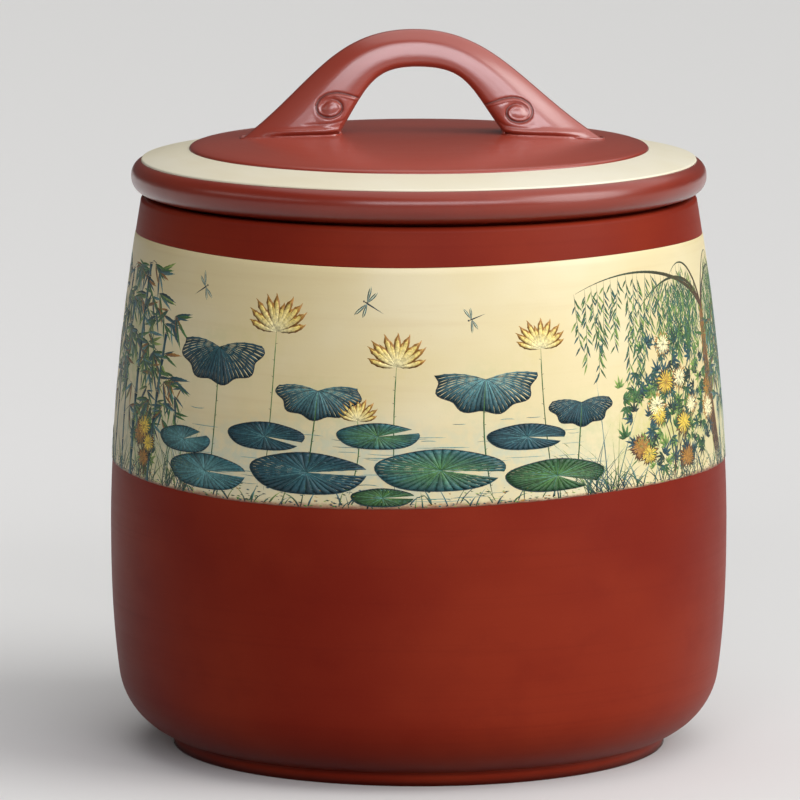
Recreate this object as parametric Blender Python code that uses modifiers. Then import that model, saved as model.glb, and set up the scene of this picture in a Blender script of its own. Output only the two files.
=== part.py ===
"""Large stoneware tea storage jar with a lift-off lid.

The jar is a turned red clay pot on a low foot ring, with a wide band of cream slip in a shallow
recess round its upper half. The lid is a domed plate with a rolled rim, a ring of cream slip, a
locating collar that drops into the mouth, and a bridge handle whose feet end in rolled scrolls.

The jar stands on the plane z = 0 with its axis on Z. The handle runs along X, and the side that
faces -Y is the front. Everything is in metres.
"""

from math import copysign, cos, degrees, pi, radians, sin, tan

import bmesh
import bpy
from mathutils import Matrix, Vector
from mathutils.bvhtree import BVHTree

# Clearance between two pieces that touch, and the number of flats round every turned piece
GAP = 0.0003
SEGMENTS = 60

# Jar body: outer radii and heights of the wall, measured from the plane it stands on
BELLY_RADIUS = 0.1250
BELLY_HEIGHT = 0.0915
MOUTH_RADIUS = 0.1120
MOUTH_HEIGHT = 0.2235
HEEL_DRAW = 0.00315
HEEL_SLOPE = radians(7.6)
HEEL_ROUND = 0.0297
WALL = 0.0070
LIP_ROUND = 0.0012
SHOULDER_POWER = 1.72

# Foot ring under the rounded heel, and the height at which it carries the floor
FOOT_INSET = 0.02135
FOOT_HEIGHT = 0.0042
FOOT_WIDTH = 0.0075
FOOT_EDGE = 0.0008

# Cream slip band round the jar below a bare neck, laid in a recess and left just proud of the clay
NECK_HEIGHT = 0.0147
BAND_HEIGHT = 0.0931
SLIP = 0.0009
SLIP_PROUD = 0.0002

# Lid plate: dome, slip ring, rolled rim
LID_OVERHANG = 0.0041
RIM_HEIGHT = 0.0142
RIM_HALF_WIDTH = 0.0078
RIM_SQUARENESS = 2.5
ROLL_START = 64.5
RING_WIDTH = 0.0194
RING_FALL = 0.0046
DOME_STEP = 0.0009
DOME_RISE = 0.0070
PLATE_THICKNESS = 0.0070
SEAT_WIDTH = 0.0145

# Locating collar under the lid
COLLAR_CLEARANCE = 0.0013
COLLAR_THICKNESS = 0.0055
COLLAR_DEPTH = 0.0120
COLLAR_EDGE = 0.0012

# Bridge handle: side view from tip to tip, then its section at the crown and at the feet
HANDLE_SPAN = 0.1450
HANDLE_RISE = 0.0400
HANDLE_THICKNESS = 0.0121
HEEL_SPACING = 0.0660
CROWN_WIDTH = 0.0170
FOOT_PIECE_WIDTH = 0.0200
CROWN_ROUND = 0.0310
INNER_ROUND = 0.0140
FLARE_LENGTH = 0.0295
FLARE_HEIGHT = 0.0175
HEEL_LEAN = 0.0125
HEEL_REACH = 0.0190
HANDLE_SHIFT = 0.0010
HANDLE_SKEW = 0.0030

# Rolled scrolls on the feet of the handle
SCROLL_X = 0.0366
SCROLL_RADIUS = 0.0066
SCROLL_EYE = 0.0024
SCROLL_TURNS = 1.45
STRIP_RADIUS = 0.0016
STRIP_SWELL = 1.25
STRIP_TIP = 0.55
STRIP_TOE_INSET = 0.0080
BUTTON_RADIUS = 0.0034
BUTTON_HEIGHT = 0.0020

CLAY = (0.230, 0.032, 0.018)
CREAM = (0.780, 0.690, 0.460)


def remove_everything():
    for thing in list(bpy.data.objects):
        bpy.data.objects.remove(thing)


def collection(name):
    group = bpy.data.collections.new(name)
    bpy.context.scene.collection.children.link(group)
    return group


def finish(name, colour, roughness):
    material = bpy.data.materials.new(name)
    material.use_nodes = True
    shader = material.node_tree.nodes["Principled BSDF"]
    shader.inputs["Base Color"].default_value = (*colour, 1.0)
    shader.inputs["Roughness"].default_value = roughness
    shader.inputs["Metallic"].default_value = 0.0
    return material


def add_object(name, mesh, material, group):
    thing = bpy.data.objects.new(name, mesh)
    if material:
        mesh.materials.append(material)
    group.objects.link(thing)
    return thing


def turned(name, outline, closed, material, group):
    """A solid of revolution. The outline runs down its outer side, then back up the inner one."""
    mesh = bpy.data.meshes.new(name)
    count = len(outline)
    links = count if closed else count - 1
    edges = [(i, (i + 1) % count) for i in range(links)]
    mesh.from_pydata([(r, 0.0, z) for r, z in outline], edges, [])
    thing = add_object(name, mesh, material, group)
    screw = thing.modifiers.new("Turn", "SCREW")
    screw.axis = "Z"
    screw.angle = 2 * pi
    screw.steps = SEGMENTS
    screw.render_steps = SEGMENTS
    screw.use_merge_vertices = True
    screw.merge_threshold = 0.00001
    screw.use_smooth_shade = True
    return thing


def cut(thing, cutter, solver="EXACT"):
    boolean = thing.modifiers.new("Cut by " + cutter.name, "BOOLEAN")
    boolean.operation = "DIFFERENCE"
    boolean.solver = solver
    boolean.object = cutter


def hide_cutter(thing):
    thing.display_type = "WIRE"
    thing.hide_render = True


def spread(start, end, count):
    """Evenly spaced values from start to end, both included."""
    return [start + (end - start) * i / (count - 1) for i in range(count)]


def arc(centre, radius, start_deg, end_deg, count):
    return [
        (centre[0] + radius * cos(radians(a)), centre[1] + radius * sin(radians(a)))
        for a in spread(start_deg, end_deg, count)
    ]


# Jar wall. The heel is an arc that leaves the wall at the wall's own slope

HEEL_RADIUS = BELLY_RADIUS - HEEL_DRAW
HEEL_HEIGHT = FOOT_HEIGHT + HEEL_ROUND * (1 - sin(HEEL_SLOPE))
HEEL_CENTRE = (HEEL_RADIUS - HEEL_ROUND * cos(HEEL_SLOPE), FOOT_HEIGHT + HEEL_ROUND)
LOWER_POWER = tan(HEEL_SLOPE) * (BELLY_HEIGHT - HEEL_HEIGHT) / HEEL_DRAW
FOOT_RADIUS = HEEL_RADIUS - FOOT_INSET
MOUTH_BORE = MOUTH_RADIUS - WALL
SEAT_HEIGHT = MOUTH_HEIGHT + GAP
BAND_TOP = MOUTH_HEIGHT - NECK_HEIGHT
BAND_BOTTOM = BAND_TOP - BAND_HEIGHT


def wall_radius(z):
    """Outer radius of the jar at a height above the rounded heel."""
    if z >= BELLY_HEIGHT:
        t = (z - BELLY_HEIGHT) / (MOUTH_HEIGHT - BELLY_HEIGHT)
        return BELLY_RADIUS - (BELLY_RADIUS - MOUTH_RADIUS) * t ** SHOULDER_POWER
    t = (BELLY_HEIGHT - z) / (BELLY_HEIGHT - HEEL_HEIGHT)
    return BELLY_RADIUS - HEEL_DRAW * t ** LOWER_POWER


def heel_height(radius, offset=0.0):
    """Height of the underside of the heel, or of a surface that lies an offset below it."""
    reach = HEEL_ROUND + offset
    run = radius - HEEL_CENTRE[0]
    if run <= 0:
        return HEEL_CENTRE[1] - reach
    return HEEL_CENTRE[1] - (reach ** 2 - run ** 2) ** 0.5


def jar_outline():
    start = -degrees(HEEL_SLOPE)
    recess = SLIP + GAP - SLIP_PROUD
    top = MOUTH_HEIGHT - LIP_ROUND
    lip_out = arc((wall_radius(top) - LIP_ROUND, top), LIP_ROUND, 90, 0, 4)
    band = [(wall_radius(z) - recess, z) for z in spread(BAND_TOP, BAND_BOTTOM, 6)]
    below = [(wall_radius(z), z) for z in spread(BAND_BOTTOM, HEEL_HEIGHT, 6)]
    heel = arc(HEEL_CENTRE, HEEL_ROUND, start, -90, 8)[1:]
    inner_heel = arc(HEEL_CENTRE, HEEL_ROUND - WALL, -90, start, 5)
    inside = [(wall_radius(z) - WALL, z) for z in spread(HEEL_HEIGHT, top, 7)][1:]
    lip_in = arc((MOUTH_BORE + LIP_ROUND, top), LIP_ROUND, 180, 90, 4)[1:]
    rim = lip_out + [(wall_radius(BAND_TOP), BAND_TOP)]
    floor_top = [(0.0, FOOT_HEIGHT + WALL)]
    floor_bottom = [(0.0, FOOT_HEIGHT)]
    outside = rim + band + below + heel + floor_bottom
    return outside, floor_top + inner_heel + inside + lip_in


def build_jar(clay, cream, group):
    outside, inside = jar_outline()
    # One run: from the floor's upper face out and up the inside, over the lip, and down outside
    turned("jar_body", inside + outside, False, clay, group)

    inner = FOOT_RADIUS - FOOT_WIDTH
    top = [(r, heel_height(r, GAP)) for r in spread(inner, FOOT_RADIUS, 4)]
    sole = [
        (FOOT_RADIUS, FOOT_EDGE),
        (FOOT_RADIUS - FOOT_EDGE, 0.0),
        (inner + FOOT_EDGE, 0.0),
        (inner, FOOT_EDGE),
    ]
    turned("foot_ring", top + sole, True, clay, group)

    low = BAND_BOTTOM + GAP
    high = BAND_TOP - GAP
    face = [(wall_radius(z) + SLIP_PROUD, z) for z in spread(high, low, 6)]
    back = [(wall_radius(z) + SLIP_PROUD - SLIP, z) for z in spread(low, high, 6)]
    turned("body_slip_band", face + back, True, cream, group)


# Lid

RIM_TOP = SEAT_HEIGHT + RIM_HEIGHT
RIM_RADIUS = MOUTH_RADIUS + LID_OVERHANG


def squircle(t, squareness):
    """Point of a unit superellipse at the angle t, in radians."""
    x = copysign(abs(cos(t)) ** (2 / squareness), cos(t))
    y = copysign(abs(sin(t)) ** (2 / squareness), sin(t))
    return x, y


def rim_point(angle):
    """Point of the rolled rim's outline at an angle in degrees, 90 at its crown and 0 outside."""
    x, y = squircle(radians(angle), RIM_SQUARENESS)
    return RIM_RADIUS - RIM_HALF_WIDTH * (1 - x), SEAT_HEIGHT + RIM_HEIGHT / 2 * (1 + y)


# The slip ring fills the width between the rolled rim and the raised dome
RING_OUTER = rim_point(ROLL_START)[0] - GAP
DOME_RADIUS = RING_OUTER - RING_WIDTH
DOME_EDGE = RIM_TOP + RING_FALL + DOME_STEP
DOME_TOP = DOME_EDGE + DOME_RISE


def dome_height(radius):
    """Height of the top of the dome, a shallow paraboloid, at a distance from the axis."""
    return DOME_TOP - DOME_RISE * (radius / DOME_RADIUS) ** 2


def ring_height(radius):
    return RIM_TOP + RING_FALL * (RING_OUTER - radius) / RING_WIDTH


def lid_outline():
    dome = [(r, dome_height(r)) for r in spread(0.0, DOME_RADIUS - DOME_STEP, 7)]
    shoulder = [
        (DOME_RADIUS, dome_height(DOME_RADIUS) - DOME_STEP / 2),
        (DOME_RADIUS, ring_height(DOME_RADIUS) - SLIP - GAP),
    ]
    trench_end = RING_OUTER + GAP
    trench = [(trench_end, ring_height(trench_end) - SLIP - GAP)]
    rolled_rim = [rim_point(angle) for angle in spread(ROLL_START, -90, 10)]
    seat_inner = RIM_RADIUS - RIM_HALF_WIDTH - SEAT_WIDTH + LID_OVERHANG
    under = PLATE_THICKNESS
    start = Vector((seat_inner, SEAT_HEIGHT))
    end = Vector((seat_inner - 2 * under, dome_height(seat_inner - 2 * under) - under))
    bend = Vector((seat_inner - under / 4, end.y))
    hollow = []
    for t in spread(0.0, 1.0, 5):
        point = start * (1 - t) ** 2 + bend * 2 * t * (1 - t) + end * t ** 2
        hollow.append((point.x, point.y))
    vault = [(r, dome_height(r) - under) for r in spread(end.x, 0.0, 4)][1:]
    return dome + shoulder + trench + rolled_rim + hollow + vault


def build_lid(clay, cream, group):
    turned("lid_plate", lid_outline(), False, clay, group)

    inner = DOME_RADIUS + GAP
    face = [(r, ring_height(r)) for r in spread(inner, RING_OUTER, 4)]
    back = [(r, ring_height(r) - SLIP) for r in spread(RING_OUTER, inner, 4)]
    turned("lid_slip_ring", face + back, True, cream, group)

    outer = MOUTH_BORE - COLLAR_CLEARANCE
    bore = outer - COLLAR_THICKNESS
    top = SEAT_HEIGHT - GAP
    bottom = SEAT_HEIGHT - COLLAR_DEPTH
    collar = [
        (outer, top),
        (outer, bottom + 2 * COLLAR_EDGE),
        (outer - COLLAR_EDGE, bottom),
        (bore + COLLAR_EDGE, bottom),
        (bore, bottom + COLLAR_EDGE),
        (bore, top),
    ]
    turned("lid_flange", collar, True, clay, group)


def dome_cutter(group):
    """All below the dome's curve and its clearance, out to the rim, to trim what stands on it."""
    edge = RIM_RADIUS
    outline = [(r, dome_height(r) + GAP) for r in spread(0.0, edge, 21)]
    outline += [(edge, SEAT_HEIGHT), (0.0, SEAT_HEIGHT)]
    cutter = turned("dome_cutter", outline, False, None, group)
    hide_cutter(cutter)
    return cutter


# Handle

def bezier(a, b, c, d, t):
    u = 1 - t
    return a * u ** 3 + b * 3 * u * u * t + c * 3 * u * t * t + d * t ** 3


def handle_edges(s):
    """Inner and outer point of the handle's side view at s, from 0 at the crown to 1 on the lid."""
    half_span = HANDLE_SPAN / 2
    half_heel = HEEL_SPACING / 2
    top = DOME_TOP + HANDLE_RISE
    under = top - HANDLE_THICKNESS
    tip = Vector((half_span, dome_height(half_span)))
    heel = Vector((half_heel, dome_height(half_heel)))
    outer = bezier(
        Vector((0.0, top)),
        Vector((CROWN_ROUND, top)),
        tip + Vector((-FLARE_LENGTH, FLARE_HEIGHT)),
        tip,
        s ** 1.5,
    )
    inner = bezier(
        Vector((0.0, under)),
        Vector((INNER_ROUND, under)),
        heel + Vector((-HEEL_LEAN, HEEL_REACH)),
        heel,
        s,
    )
    return inner, outer


def lean(x, z):
    """The hand-built bridge sits a little right of centre and leans left as it rises."""
    rise = (z - dome_height(0.0)) / HANDLE_RISE
    return x + HANDLE_SHIFT - HANDLE_SKEW * rise


def handle_ring(side, s, grow, count):
    inner, outer = handle_edges(s)
    foot = min(s, 1.0) ** 2
    width = CROWN_WIDTH / 2 * (1 - foot) + FOOT_PIECE_WIDTH / 2 * foot
    squareness = 2.4 * (1 - foot) + 3.6 * foot
    taper = 0.25 * (1 - foot) + 0.66 * foot
    centre = (inner + outer) / 2
    reach = (outer - inner) / 2
    scale = 1 + grow / reach.length
    ring = []
    for i in range(count):
        along, across = squircle(2 * pi * i / count, squareness)
        y = (width * (1 - taper * (along + 1) / 2) + grow) * across
        point = centre + reach * scale * along
        ring.append(Vector((lean(side * point.x, point.y), y, point.y)))
    return ring


def handle_solid(name, grow, stations, count, material, group):
    """Loft of the handle's sections from one foot, over the crown, to the other."""
    below_lid = 1.10
    form = bmesh.new()
    rings = []
    for k in range(-stations, stations + 1):
        side = -1 if k < 0 else 1
        corners = handle_ring(side, below_lid * abs(k) / stations, grow, count)
        rings.append([form.verts.new(point) for point in corners])
    for low, high in zip(rings, rings[1:]):
        for i in range(count):
            j = (i + 1) % count
            form.faces.new((low[i], low[j], high[j], high[i]))
    form.faces.new(rings[0])
    form.faces.new(rings[-1])
    bmesh.ops.recalc_face_normals(form, faces=form.faces)
    mesh = bpy.data.meshes.new(name)
    form.to_mesh(mesh)
    form.free()
    mesh.shade_smooth()
    mesh.set_sharp_from_angle(angle=radians(40))
    return add_object(name, mesh, material, group)


# Scrolls: a strip runs along the foot from its toe, round the heel and in to a button

def scroll_route():
    """Side view of the strip on the right foot: x, height, radius, and how far it has surfaced."""
    toe_x = HANDLE_SPAN / 2 - STRIP_TOE_INSET
    route = []
    for t in spread(0.0, 1.0, 8)[:-1]:
        x = toe_x + (SCROLL_X - toe_x) * t
        radius = STRIP_RADIUS * (STRIP_TIP + (STRIP_SWELL - STRIP_TIP) * t)
        route.append((x, dome_height(x) + radius + GAP, radius, min(1.0, 2 * t)))
    swell = STRIP_RADIUS * STRIP_SWELL
    centre = (SCROLL_X, dome_height(SCROLL_X) + swell + GAP + SCROLL_RADIUS)
    steps = 22
    for k in range(steps + 1):
        t = k / steps
        angle = -pi / 2 - 2 * pi * SCROLL_TURNS * t
        turn = SCROLL_RADIUS + (SCROLL_EYE - SCROLL_RADIUS) * t
        radius = max(swell * (1 - 2 * t), STRIP_RADIUS * (1 - 0.25 * t))
        route.append((centre[0] + turn * cos(angle), centre[1] + turn * sin(angle), radius, 1.0))
    return route, centre


def face_depth(tree, x, z):
    """Distance from the handle's middle plane to its face at a point of the side view."""
    far = 0.1
    hit = tree.ray_cast(Vector((x, -far, z)), Vector((0.0, 1.0, 0.0)))[0]
    return abs(hit.y) if hit else None


def strip_mesh(name, points):
    """A tube through the points, each given with its radius, as a closed mesh."""
    curve = bpy.data.curves.new(name, "CURVE")
    curve.dimensions = "3D"
    curve.bevel_depth = STRIP_RADIUS
    curve.bevel_resolution = 2
    curve.use_fill_caps = True
    spline = curve.splines.new("POLY")
    spline.points.add(len(points) - 1)
    for target, (place, size) in zip(spline.points, points):
        target.co = (*place, 1.0)
        target.radius = size
    guide = bpy.data.objects.new(name + "_route", curve)
    bpy.context.scene.collection.objects.link(guide)
    evaluated = guide.evaluated_get(bpy.context.evaluated_depsgraph_get())
    mesh = bpy.data.meshes.new_from_object(evaluated)
    bpy.data.objects.remove(guide)
    form = bmesh.new()
    form.from_mesh(mesh)
    bmesh.ops.remove_doubles(form, verts=form.verts, dist=0.00001)
    bmesh.ops.recalc_face_normals(form, faces=form.faces)
    form.to_mesh(mesh)
    form.free()
    mesh.shade_smooth()
    return mesh


def build_scroll(name, side, face, tree, cutters, material, group, cutter_group):
    route, centre = scroll_route()
    points = []
    depth = FOOT_PIECE_WIDTH / 2
    for x, z, radius, surfaced in route:
        place = lean(side * x, z)
        depth = face_depth(tree, place, z) or depth
        sunk = radius * (1 - surfaced)
        points.append((Vector((place, face * (depth + GAP - sunk), z)), radius / STRIP_RADIUS))
    scroll = add_object(name, strip_mesh(name, points), material, group)

    middle = lean(side * centre[0], centre[1])
    depth = face_depth(tree, middle, centre[1]) or depth
    form = bmesh.new()
    bmesh.ops.create_uvsphere(form, u_segments=16, v_segments=8, radius=BUTTON_RADIUS)
    bmesh.ops.rotate(form, verts=form.verts, matrix=Matrix.Rotation(pi / 2, 3, "X"))
    bmesh.ops.scale(form, verts=form.verts, vec=(1.0, BUTTON_HEIGHT / BUTTON_RADIUS, 1.0))
    bmesh.ops.translate(form, verts=form.verts, vec=(middle, face * depth, centre[1]))
    mesh = bpy.data.meshes.new(name + "_button")
    form.to_mesh(mesh)
    form.free()
    mesh.shade_smooth()
    button = add_object(name + "_button", mesh, None, cutter_group)
    hide_cutter(button)
    joined = scroll.modifiers.new("Button", "BOOLEAN")
    joined.operation = "UNION"
    joined.solver = "EXACT"
    joined.use_self = True
    joined.object = button
    # The coil touches itself from turn to turn, where the exact solver can leave it uncut
    for cutter in cutters:
        cut(scroll, cutter, "MANIFOLD")


def build_handle(clay, group, cutter_group):
    under = dome_cutter(cutter_group)
    handle = handle_solid("lid_handle", 0.0, 17, 20, clay, group)
    grown = handle_solid("handle_cutter", GAP, 17, 20, None, cutter_group)
    hide_cutter(grown)
    form = bmesh.new()
    form.from_mesh(handle.data)
    tree = BVHTree.FromBMesh(form)
    form.free()
    cut(handle, under)
    for face, depth_name in ((-1, "front"), (1, "back")):
        for side, side_name in ((-1, "left"), (1, "right")):
            name = "handle_scroll_" + depth_name + "_" + side_name
            build_scroll(name, side, face, tree, (grown, under), clay, group, cutter_group)


def main():
    remove_everything()
    parts = collection("tea_storage_jar")
    cutters = collection("cutters")
    clay = finish("red_clay", CLAY, 0.42)
    cream = finish("cream_slip", CREAM, 0.5)
    build_jar(clay, cream, parts)
    build_lid(clay, cream, parts)
    build_handle(clay, parts, cutters)


main()
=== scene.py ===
# %% [markdown]
# # A tea storage jar in red stoneware
#
# The jar is a turned pot with a domed lid. Both are red clay, burnished to a satin sheen. A wide
# band of cream slip runs round the shoulder and a narrow ring of it round the lid, and a bridge
# handle whose feet roll up into scrolls stands on the dome. The solids of the jar come from its
# construction model. This script gives them their fine surface, their finishes and their light.
#
# The construction model is loaded first. It is the frame: every piece made here takes its size
# and place from it, and rides on one of its two bodies, the jar or the lid.

# %% Load the construction model
import random
from math import atan2, copysign, cos, hypot, pi, radians, sin, tan

import bmesh
import bpy
import numpy as np
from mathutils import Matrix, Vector


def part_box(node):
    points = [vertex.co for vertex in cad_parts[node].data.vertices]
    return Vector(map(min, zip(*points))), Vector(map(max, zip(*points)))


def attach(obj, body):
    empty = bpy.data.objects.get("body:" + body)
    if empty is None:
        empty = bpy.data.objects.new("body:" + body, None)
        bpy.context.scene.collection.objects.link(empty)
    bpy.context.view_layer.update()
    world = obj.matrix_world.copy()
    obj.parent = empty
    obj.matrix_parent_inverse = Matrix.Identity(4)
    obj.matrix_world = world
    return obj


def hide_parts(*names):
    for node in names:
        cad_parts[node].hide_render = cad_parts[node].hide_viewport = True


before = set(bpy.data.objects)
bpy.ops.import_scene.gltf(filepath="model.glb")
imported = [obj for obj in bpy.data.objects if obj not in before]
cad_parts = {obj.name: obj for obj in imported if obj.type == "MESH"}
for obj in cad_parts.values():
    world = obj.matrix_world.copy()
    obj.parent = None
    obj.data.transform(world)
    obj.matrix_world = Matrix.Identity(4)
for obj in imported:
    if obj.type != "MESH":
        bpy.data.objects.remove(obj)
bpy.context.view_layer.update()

print("nodes:", sorted(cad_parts))

# %% [markdown]
# ## Sizes
#
# What a node's box can tell is read from it, so that the pieces follow the construction. The
# rest repeats the driving sizes of the turned outlines, in metres.

# %% Read the boxes and name the sizes
BELLY_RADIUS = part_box("jar_body")[1].x
MOUTH_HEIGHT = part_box("jar_body")[1].z
FOOT_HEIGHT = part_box("jar_body")[0].z
FOOT_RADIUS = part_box("foot_ring")[1].x
BAND_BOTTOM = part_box("body_slip_band")[0].z
BAND_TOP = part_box("body_slip_band")[1].z
SEAT_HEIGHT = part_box("lid_plate")[0].z
RIM_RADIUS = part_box("lid_plate")[1].x
DOME_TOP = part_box("lid_plate")[1].z
RING_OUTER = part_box("lid_slip_ring")[1].x
COLLAR_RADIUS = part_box("lid_flange")[1].x
COLLAR_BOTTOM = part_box("lid_flange")[0].z
CROWN_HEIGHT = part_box("lid_handle")[1].z

BELLY_HEIGHT = 0.0915
MOUTH_RADIUS = 0.1120
HEEL_DRAW = 0.00315
HEEL_ROUND = 0.0297
HEEL_SLOPE = radians(7.6)
SHOULDER_POWER = 1.72
WALL = 0.0070
FOOT_WIDTH = 0.0075
SLIP = 0.0009
SLIP_PROUD = 0.0002
RIM_HEIGHT = 0.0148
RIM_LIFT = 0.0010
RIM_HALF_WIDTH = 0.0078
RIM_SQUARENESS = 2.2
ROLL_START = 64.5
RING_WIDTH = 0.0194
RING_FALL = 0.0040
DOME_RISE = 0.0070
DOME_FLATTENED = 0.0015
DOME_POWER = 3
PLATE_THICKNESS = 0.0070
SEAT_WIDTH = 0.0145
COLLAR_THICKNESS = 0.0055
print(f"belly {2 * BELLY_RADIUS:.4f} m across, mouth at {MOUTH_HEIGHT:.4f} m")

# %% [markdown]
# ## Camera
#
# The photograph looks almost level at the jar, a little down on its lid, and its edges hardly
# converge, so it was taken from well back with a long lens. The camera stands three metres in
# front of the jar and is turned down by a little over eight degrees.

# %% Place the camera
CAMERA_PLACE = (-0.0076, -3.0, 0.5814)
CAMERA_PITCH = radians(8.378)
CAMERA_LENS = 336.6
SENSOR = 36.0
CAMERA_REACH = 30

bpy.ops.object.camera_add(location=CAMERA_PLACE, rotation=(pi / 2 - CAMERA_PITCH, 0, 0))
camera = bpy.context.object
camera.data.lens = CAMERA_LENS
camera.data.sensor_width = SENSOR
camera.data.clip_end = CAMERA_REACH
bpy.context.scene.camera = camera
bpy.context.scene.view_settings.view_transform = "Standard"
print("camera", tuple(camera.location), camera.data.lens)

# %% [markdown]
# ## Finishes as written sums
#
# A finish is a tree of shader nodes. Wiring dozens of Math nodes by hand is slow to read, so a
# small class wraps a socket and turns ordinary sums into those nodes. Every other kind of node
# comes from one method, which sets the node up first and then feeds its sockets.

# %% Define the class for sockets
class Flow:
    """A number on its way through a finish. A sum on it adds the Math node that works it out."""

    def __init__(self, finish, socket):
        self.finish = finish
        self.socket = socket

    def sum(self, operation, first, second):
        return self.finish.node("ShaderNodeMath", {"operation": operation}, {0: first, 1: second})

    def __add__(self, other):
        return self.sum("ADD", self, other)

    def __radd__(self, other):
        return self.sum("ADD", other, self)

    def __sub__(self, other):
        return self.sum("SUBTRACT", self, other)

    def __rsub__(self, other):
        return self.sum("SUBTRACT", other, self)

    def __mul__(self, other):
        return self.sum("MULTIPLY", self, other)

    def __rmul__(self, other):
        return self.sum("MULTIPLY", other, self)


print("a socket can be added, subtracted and multiplied, on either side of a number")

# %% Define the class for finishes
class Finish:
    """A material with a Principled shader, and short calls for the nodes that feed it."""

    def __init__(self, name):
        self.material = bpy.data.materials.new(name)
        self.material.use_nodes = True
        self.tree = self.material.node_tree
        self.shader = self.tree.nodes["Principled BSDF"]

    def feed(self, socket, value):
        if isinstance(value, Flow):
            self.tree.links.new(value.socket, socket)
        else:
            socket.default_value = value

    def node(self, kind, settings=None, sockets=None, output=0):
        made = self.tree.nodes.new(kind)
        for name, value in (settings or {}).items():
            setattr(made, name, value)
        for name, value in (sockets or {}).items():
            self.feed(made.inputs[name], value)
        return Flow(self, made.outputs[output])

    def place(self, stretch):
        """Object coordinates, in metres, multiplied by a stretch for each axis."""
        coordinates = self.node("ShaderNodeTexCoord", output="Object")
        return self.node("ShaderNodeVectorMath", {"operation": "MULTIPLY"}, {0: coordinates, 1: stretch})

    def noise_at(self, place, detail=2.0, roughness=0.5):
        sockets = {"Vector": place, "Scale": 1.0, "Detail": detail, "Roughness": roughness}
        return self.node("ShaderNodeTexNoise", {}, sockets)

    def noise(self, stretch, detail=2.0, roughness=0.5):
        return self.noise_at(self.place(stretch), detail, roughness)

    def between(self, value, low, high, start=0.0, end=1.0):
        """Eases from start to end while the value goes from low to high."""
        sockets = {"Value": value, "From Min": low, "From Max": high, "To Min": start, "To Max": end}
        return self.node("ShaderNodeMapRange", {"interpolation_type": "SMOOTHSTEP"}, sockets)

    def blend(self, share, first, second):
        """Mixes two colours. A Mix node takes them at its sockets 6 and 7 and gives them at 2."""
        return self.node("ShaderNodeMix", {"data_type": "RGBA"}, {0: share, 6: first, 7: second}, 2)

    def cover(self, colour, value, span, share, other):
        """Lays another colour over one, up to a share, where a value passes through a span."""
        return self.blend(self.between(value, *span, 0, share), colour, other)

    def attribute(self, name, output):
        return self.node("ShaderNodeAttribute", {"attribute_name": name}, output=output)

    def bump(self, height, depth):
        """A bump of a height from 0 to 1, whose full depth is given in metres."""
        return self.node("ShaderNodeBump", {}, {"Height": height, "Distance": depth, "Strength": 1.0})

    def set(self, **sockets):
        for name, value in sockets.items():
            self.feed(self.shader.inputs[name.replace("_", " ")], value)
        return self.material


print("a finish has the calls", [name for name in vars(Finish) if name[0] != "_"])

# %% [markdown]
# ## Red clay
#
# The clay is a fine red stoneware, rubbed smooth before firing and handled since. Its colour is
# deep and even, with a slow drift from brick to maroon, faint rings from the wheel and a fine
# grain of paler and darker specks. The sheen is satin. Stretching a noise flat in height gives
# the rings, and the same noise at the same scale in all directions gives the grain.
# In the grooves of the handle it is darker, partly with clay dust and partly as painted shade.
# On top of the lid the clay is painted lighter, for the stronger light that falls there from above.

# %% Mix the red clay
CLAY = (0.188, 0.0140, 0.0055, 1.0)
CLAY_DEEP = (0.140, 0.0090, 0.0045, 1.0)
CLAY_WARM = (0.235, 0.0240, 0.0085, 1.0)
CLAY_SPECK = (0.320, 0.0700, 0.0350, 1.0)
CLAY_DUST_AND_SHADE = (0.045, 0.0060, 0.0045, 1.0)
CLAY_PAINTED_LIGHT = (0.365, 0.0500, 0.0260, 1.0)
PAINTED_LIGHT_SPAN = (SEAT_HEIGHT + 0.018, SEAT_HEIGHT + 0.021)
MARKS_UP = 520
MARKS_OUT = 330
MARKS_ROUND = 5
DRIFT_SCALE = (9, 9, 14)
MOTTLE_SCALE = (48, 48, 60)
GRAIN_SCALE = (2600, 2600, 2600)
DRIFT_SPAN = (0.34, 0.66)
MOTTLE_SPAN = (0.45, 0.80)
RINGS_SPAN = (0.50, 0.85)
GRAIN_SPAN = (0.63, 0.78)
SEAM_SPAN = (0.15, 0.95)
DEEPENED = 0.24
SPECKED = 0.30
DUST_AND_SHADE_SHARE = 0.75
MOTTLE_DULLS = 0.08
RINGS_DULL = 0.06
SEAM_DULLS = 0.22
GRAIN_DEPTH = 0.00005


def height_in(clay):
    return clay.node("ShaderNodeSeparateXYZ", sockets={0: clay.place((1, 1, 1))}, output="Z")


def wheel_marks(clay):
    """Coordinates that run fast up a wall or out over a lid, and slowly round the jar."""
    out = clay.node("ShaderNodeVectorMath", {"operation": "LENGTH"}, {0: clay.place((1, 1, 0))}, "Value")
    marks = MARKS_UP * height_in(clay) + MARKS_OUT * out
    fast = clay.node("ShaderNodeCombineXYZ", sockets={"Z": marks})
    slow = clay.place((MARKS_ROUND, MARKS_ROUND, 0))
    return clay.node("ShaderNodeVectorMath", {"operation": "ADD"}, {0: slow, 1: fast})


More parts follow.
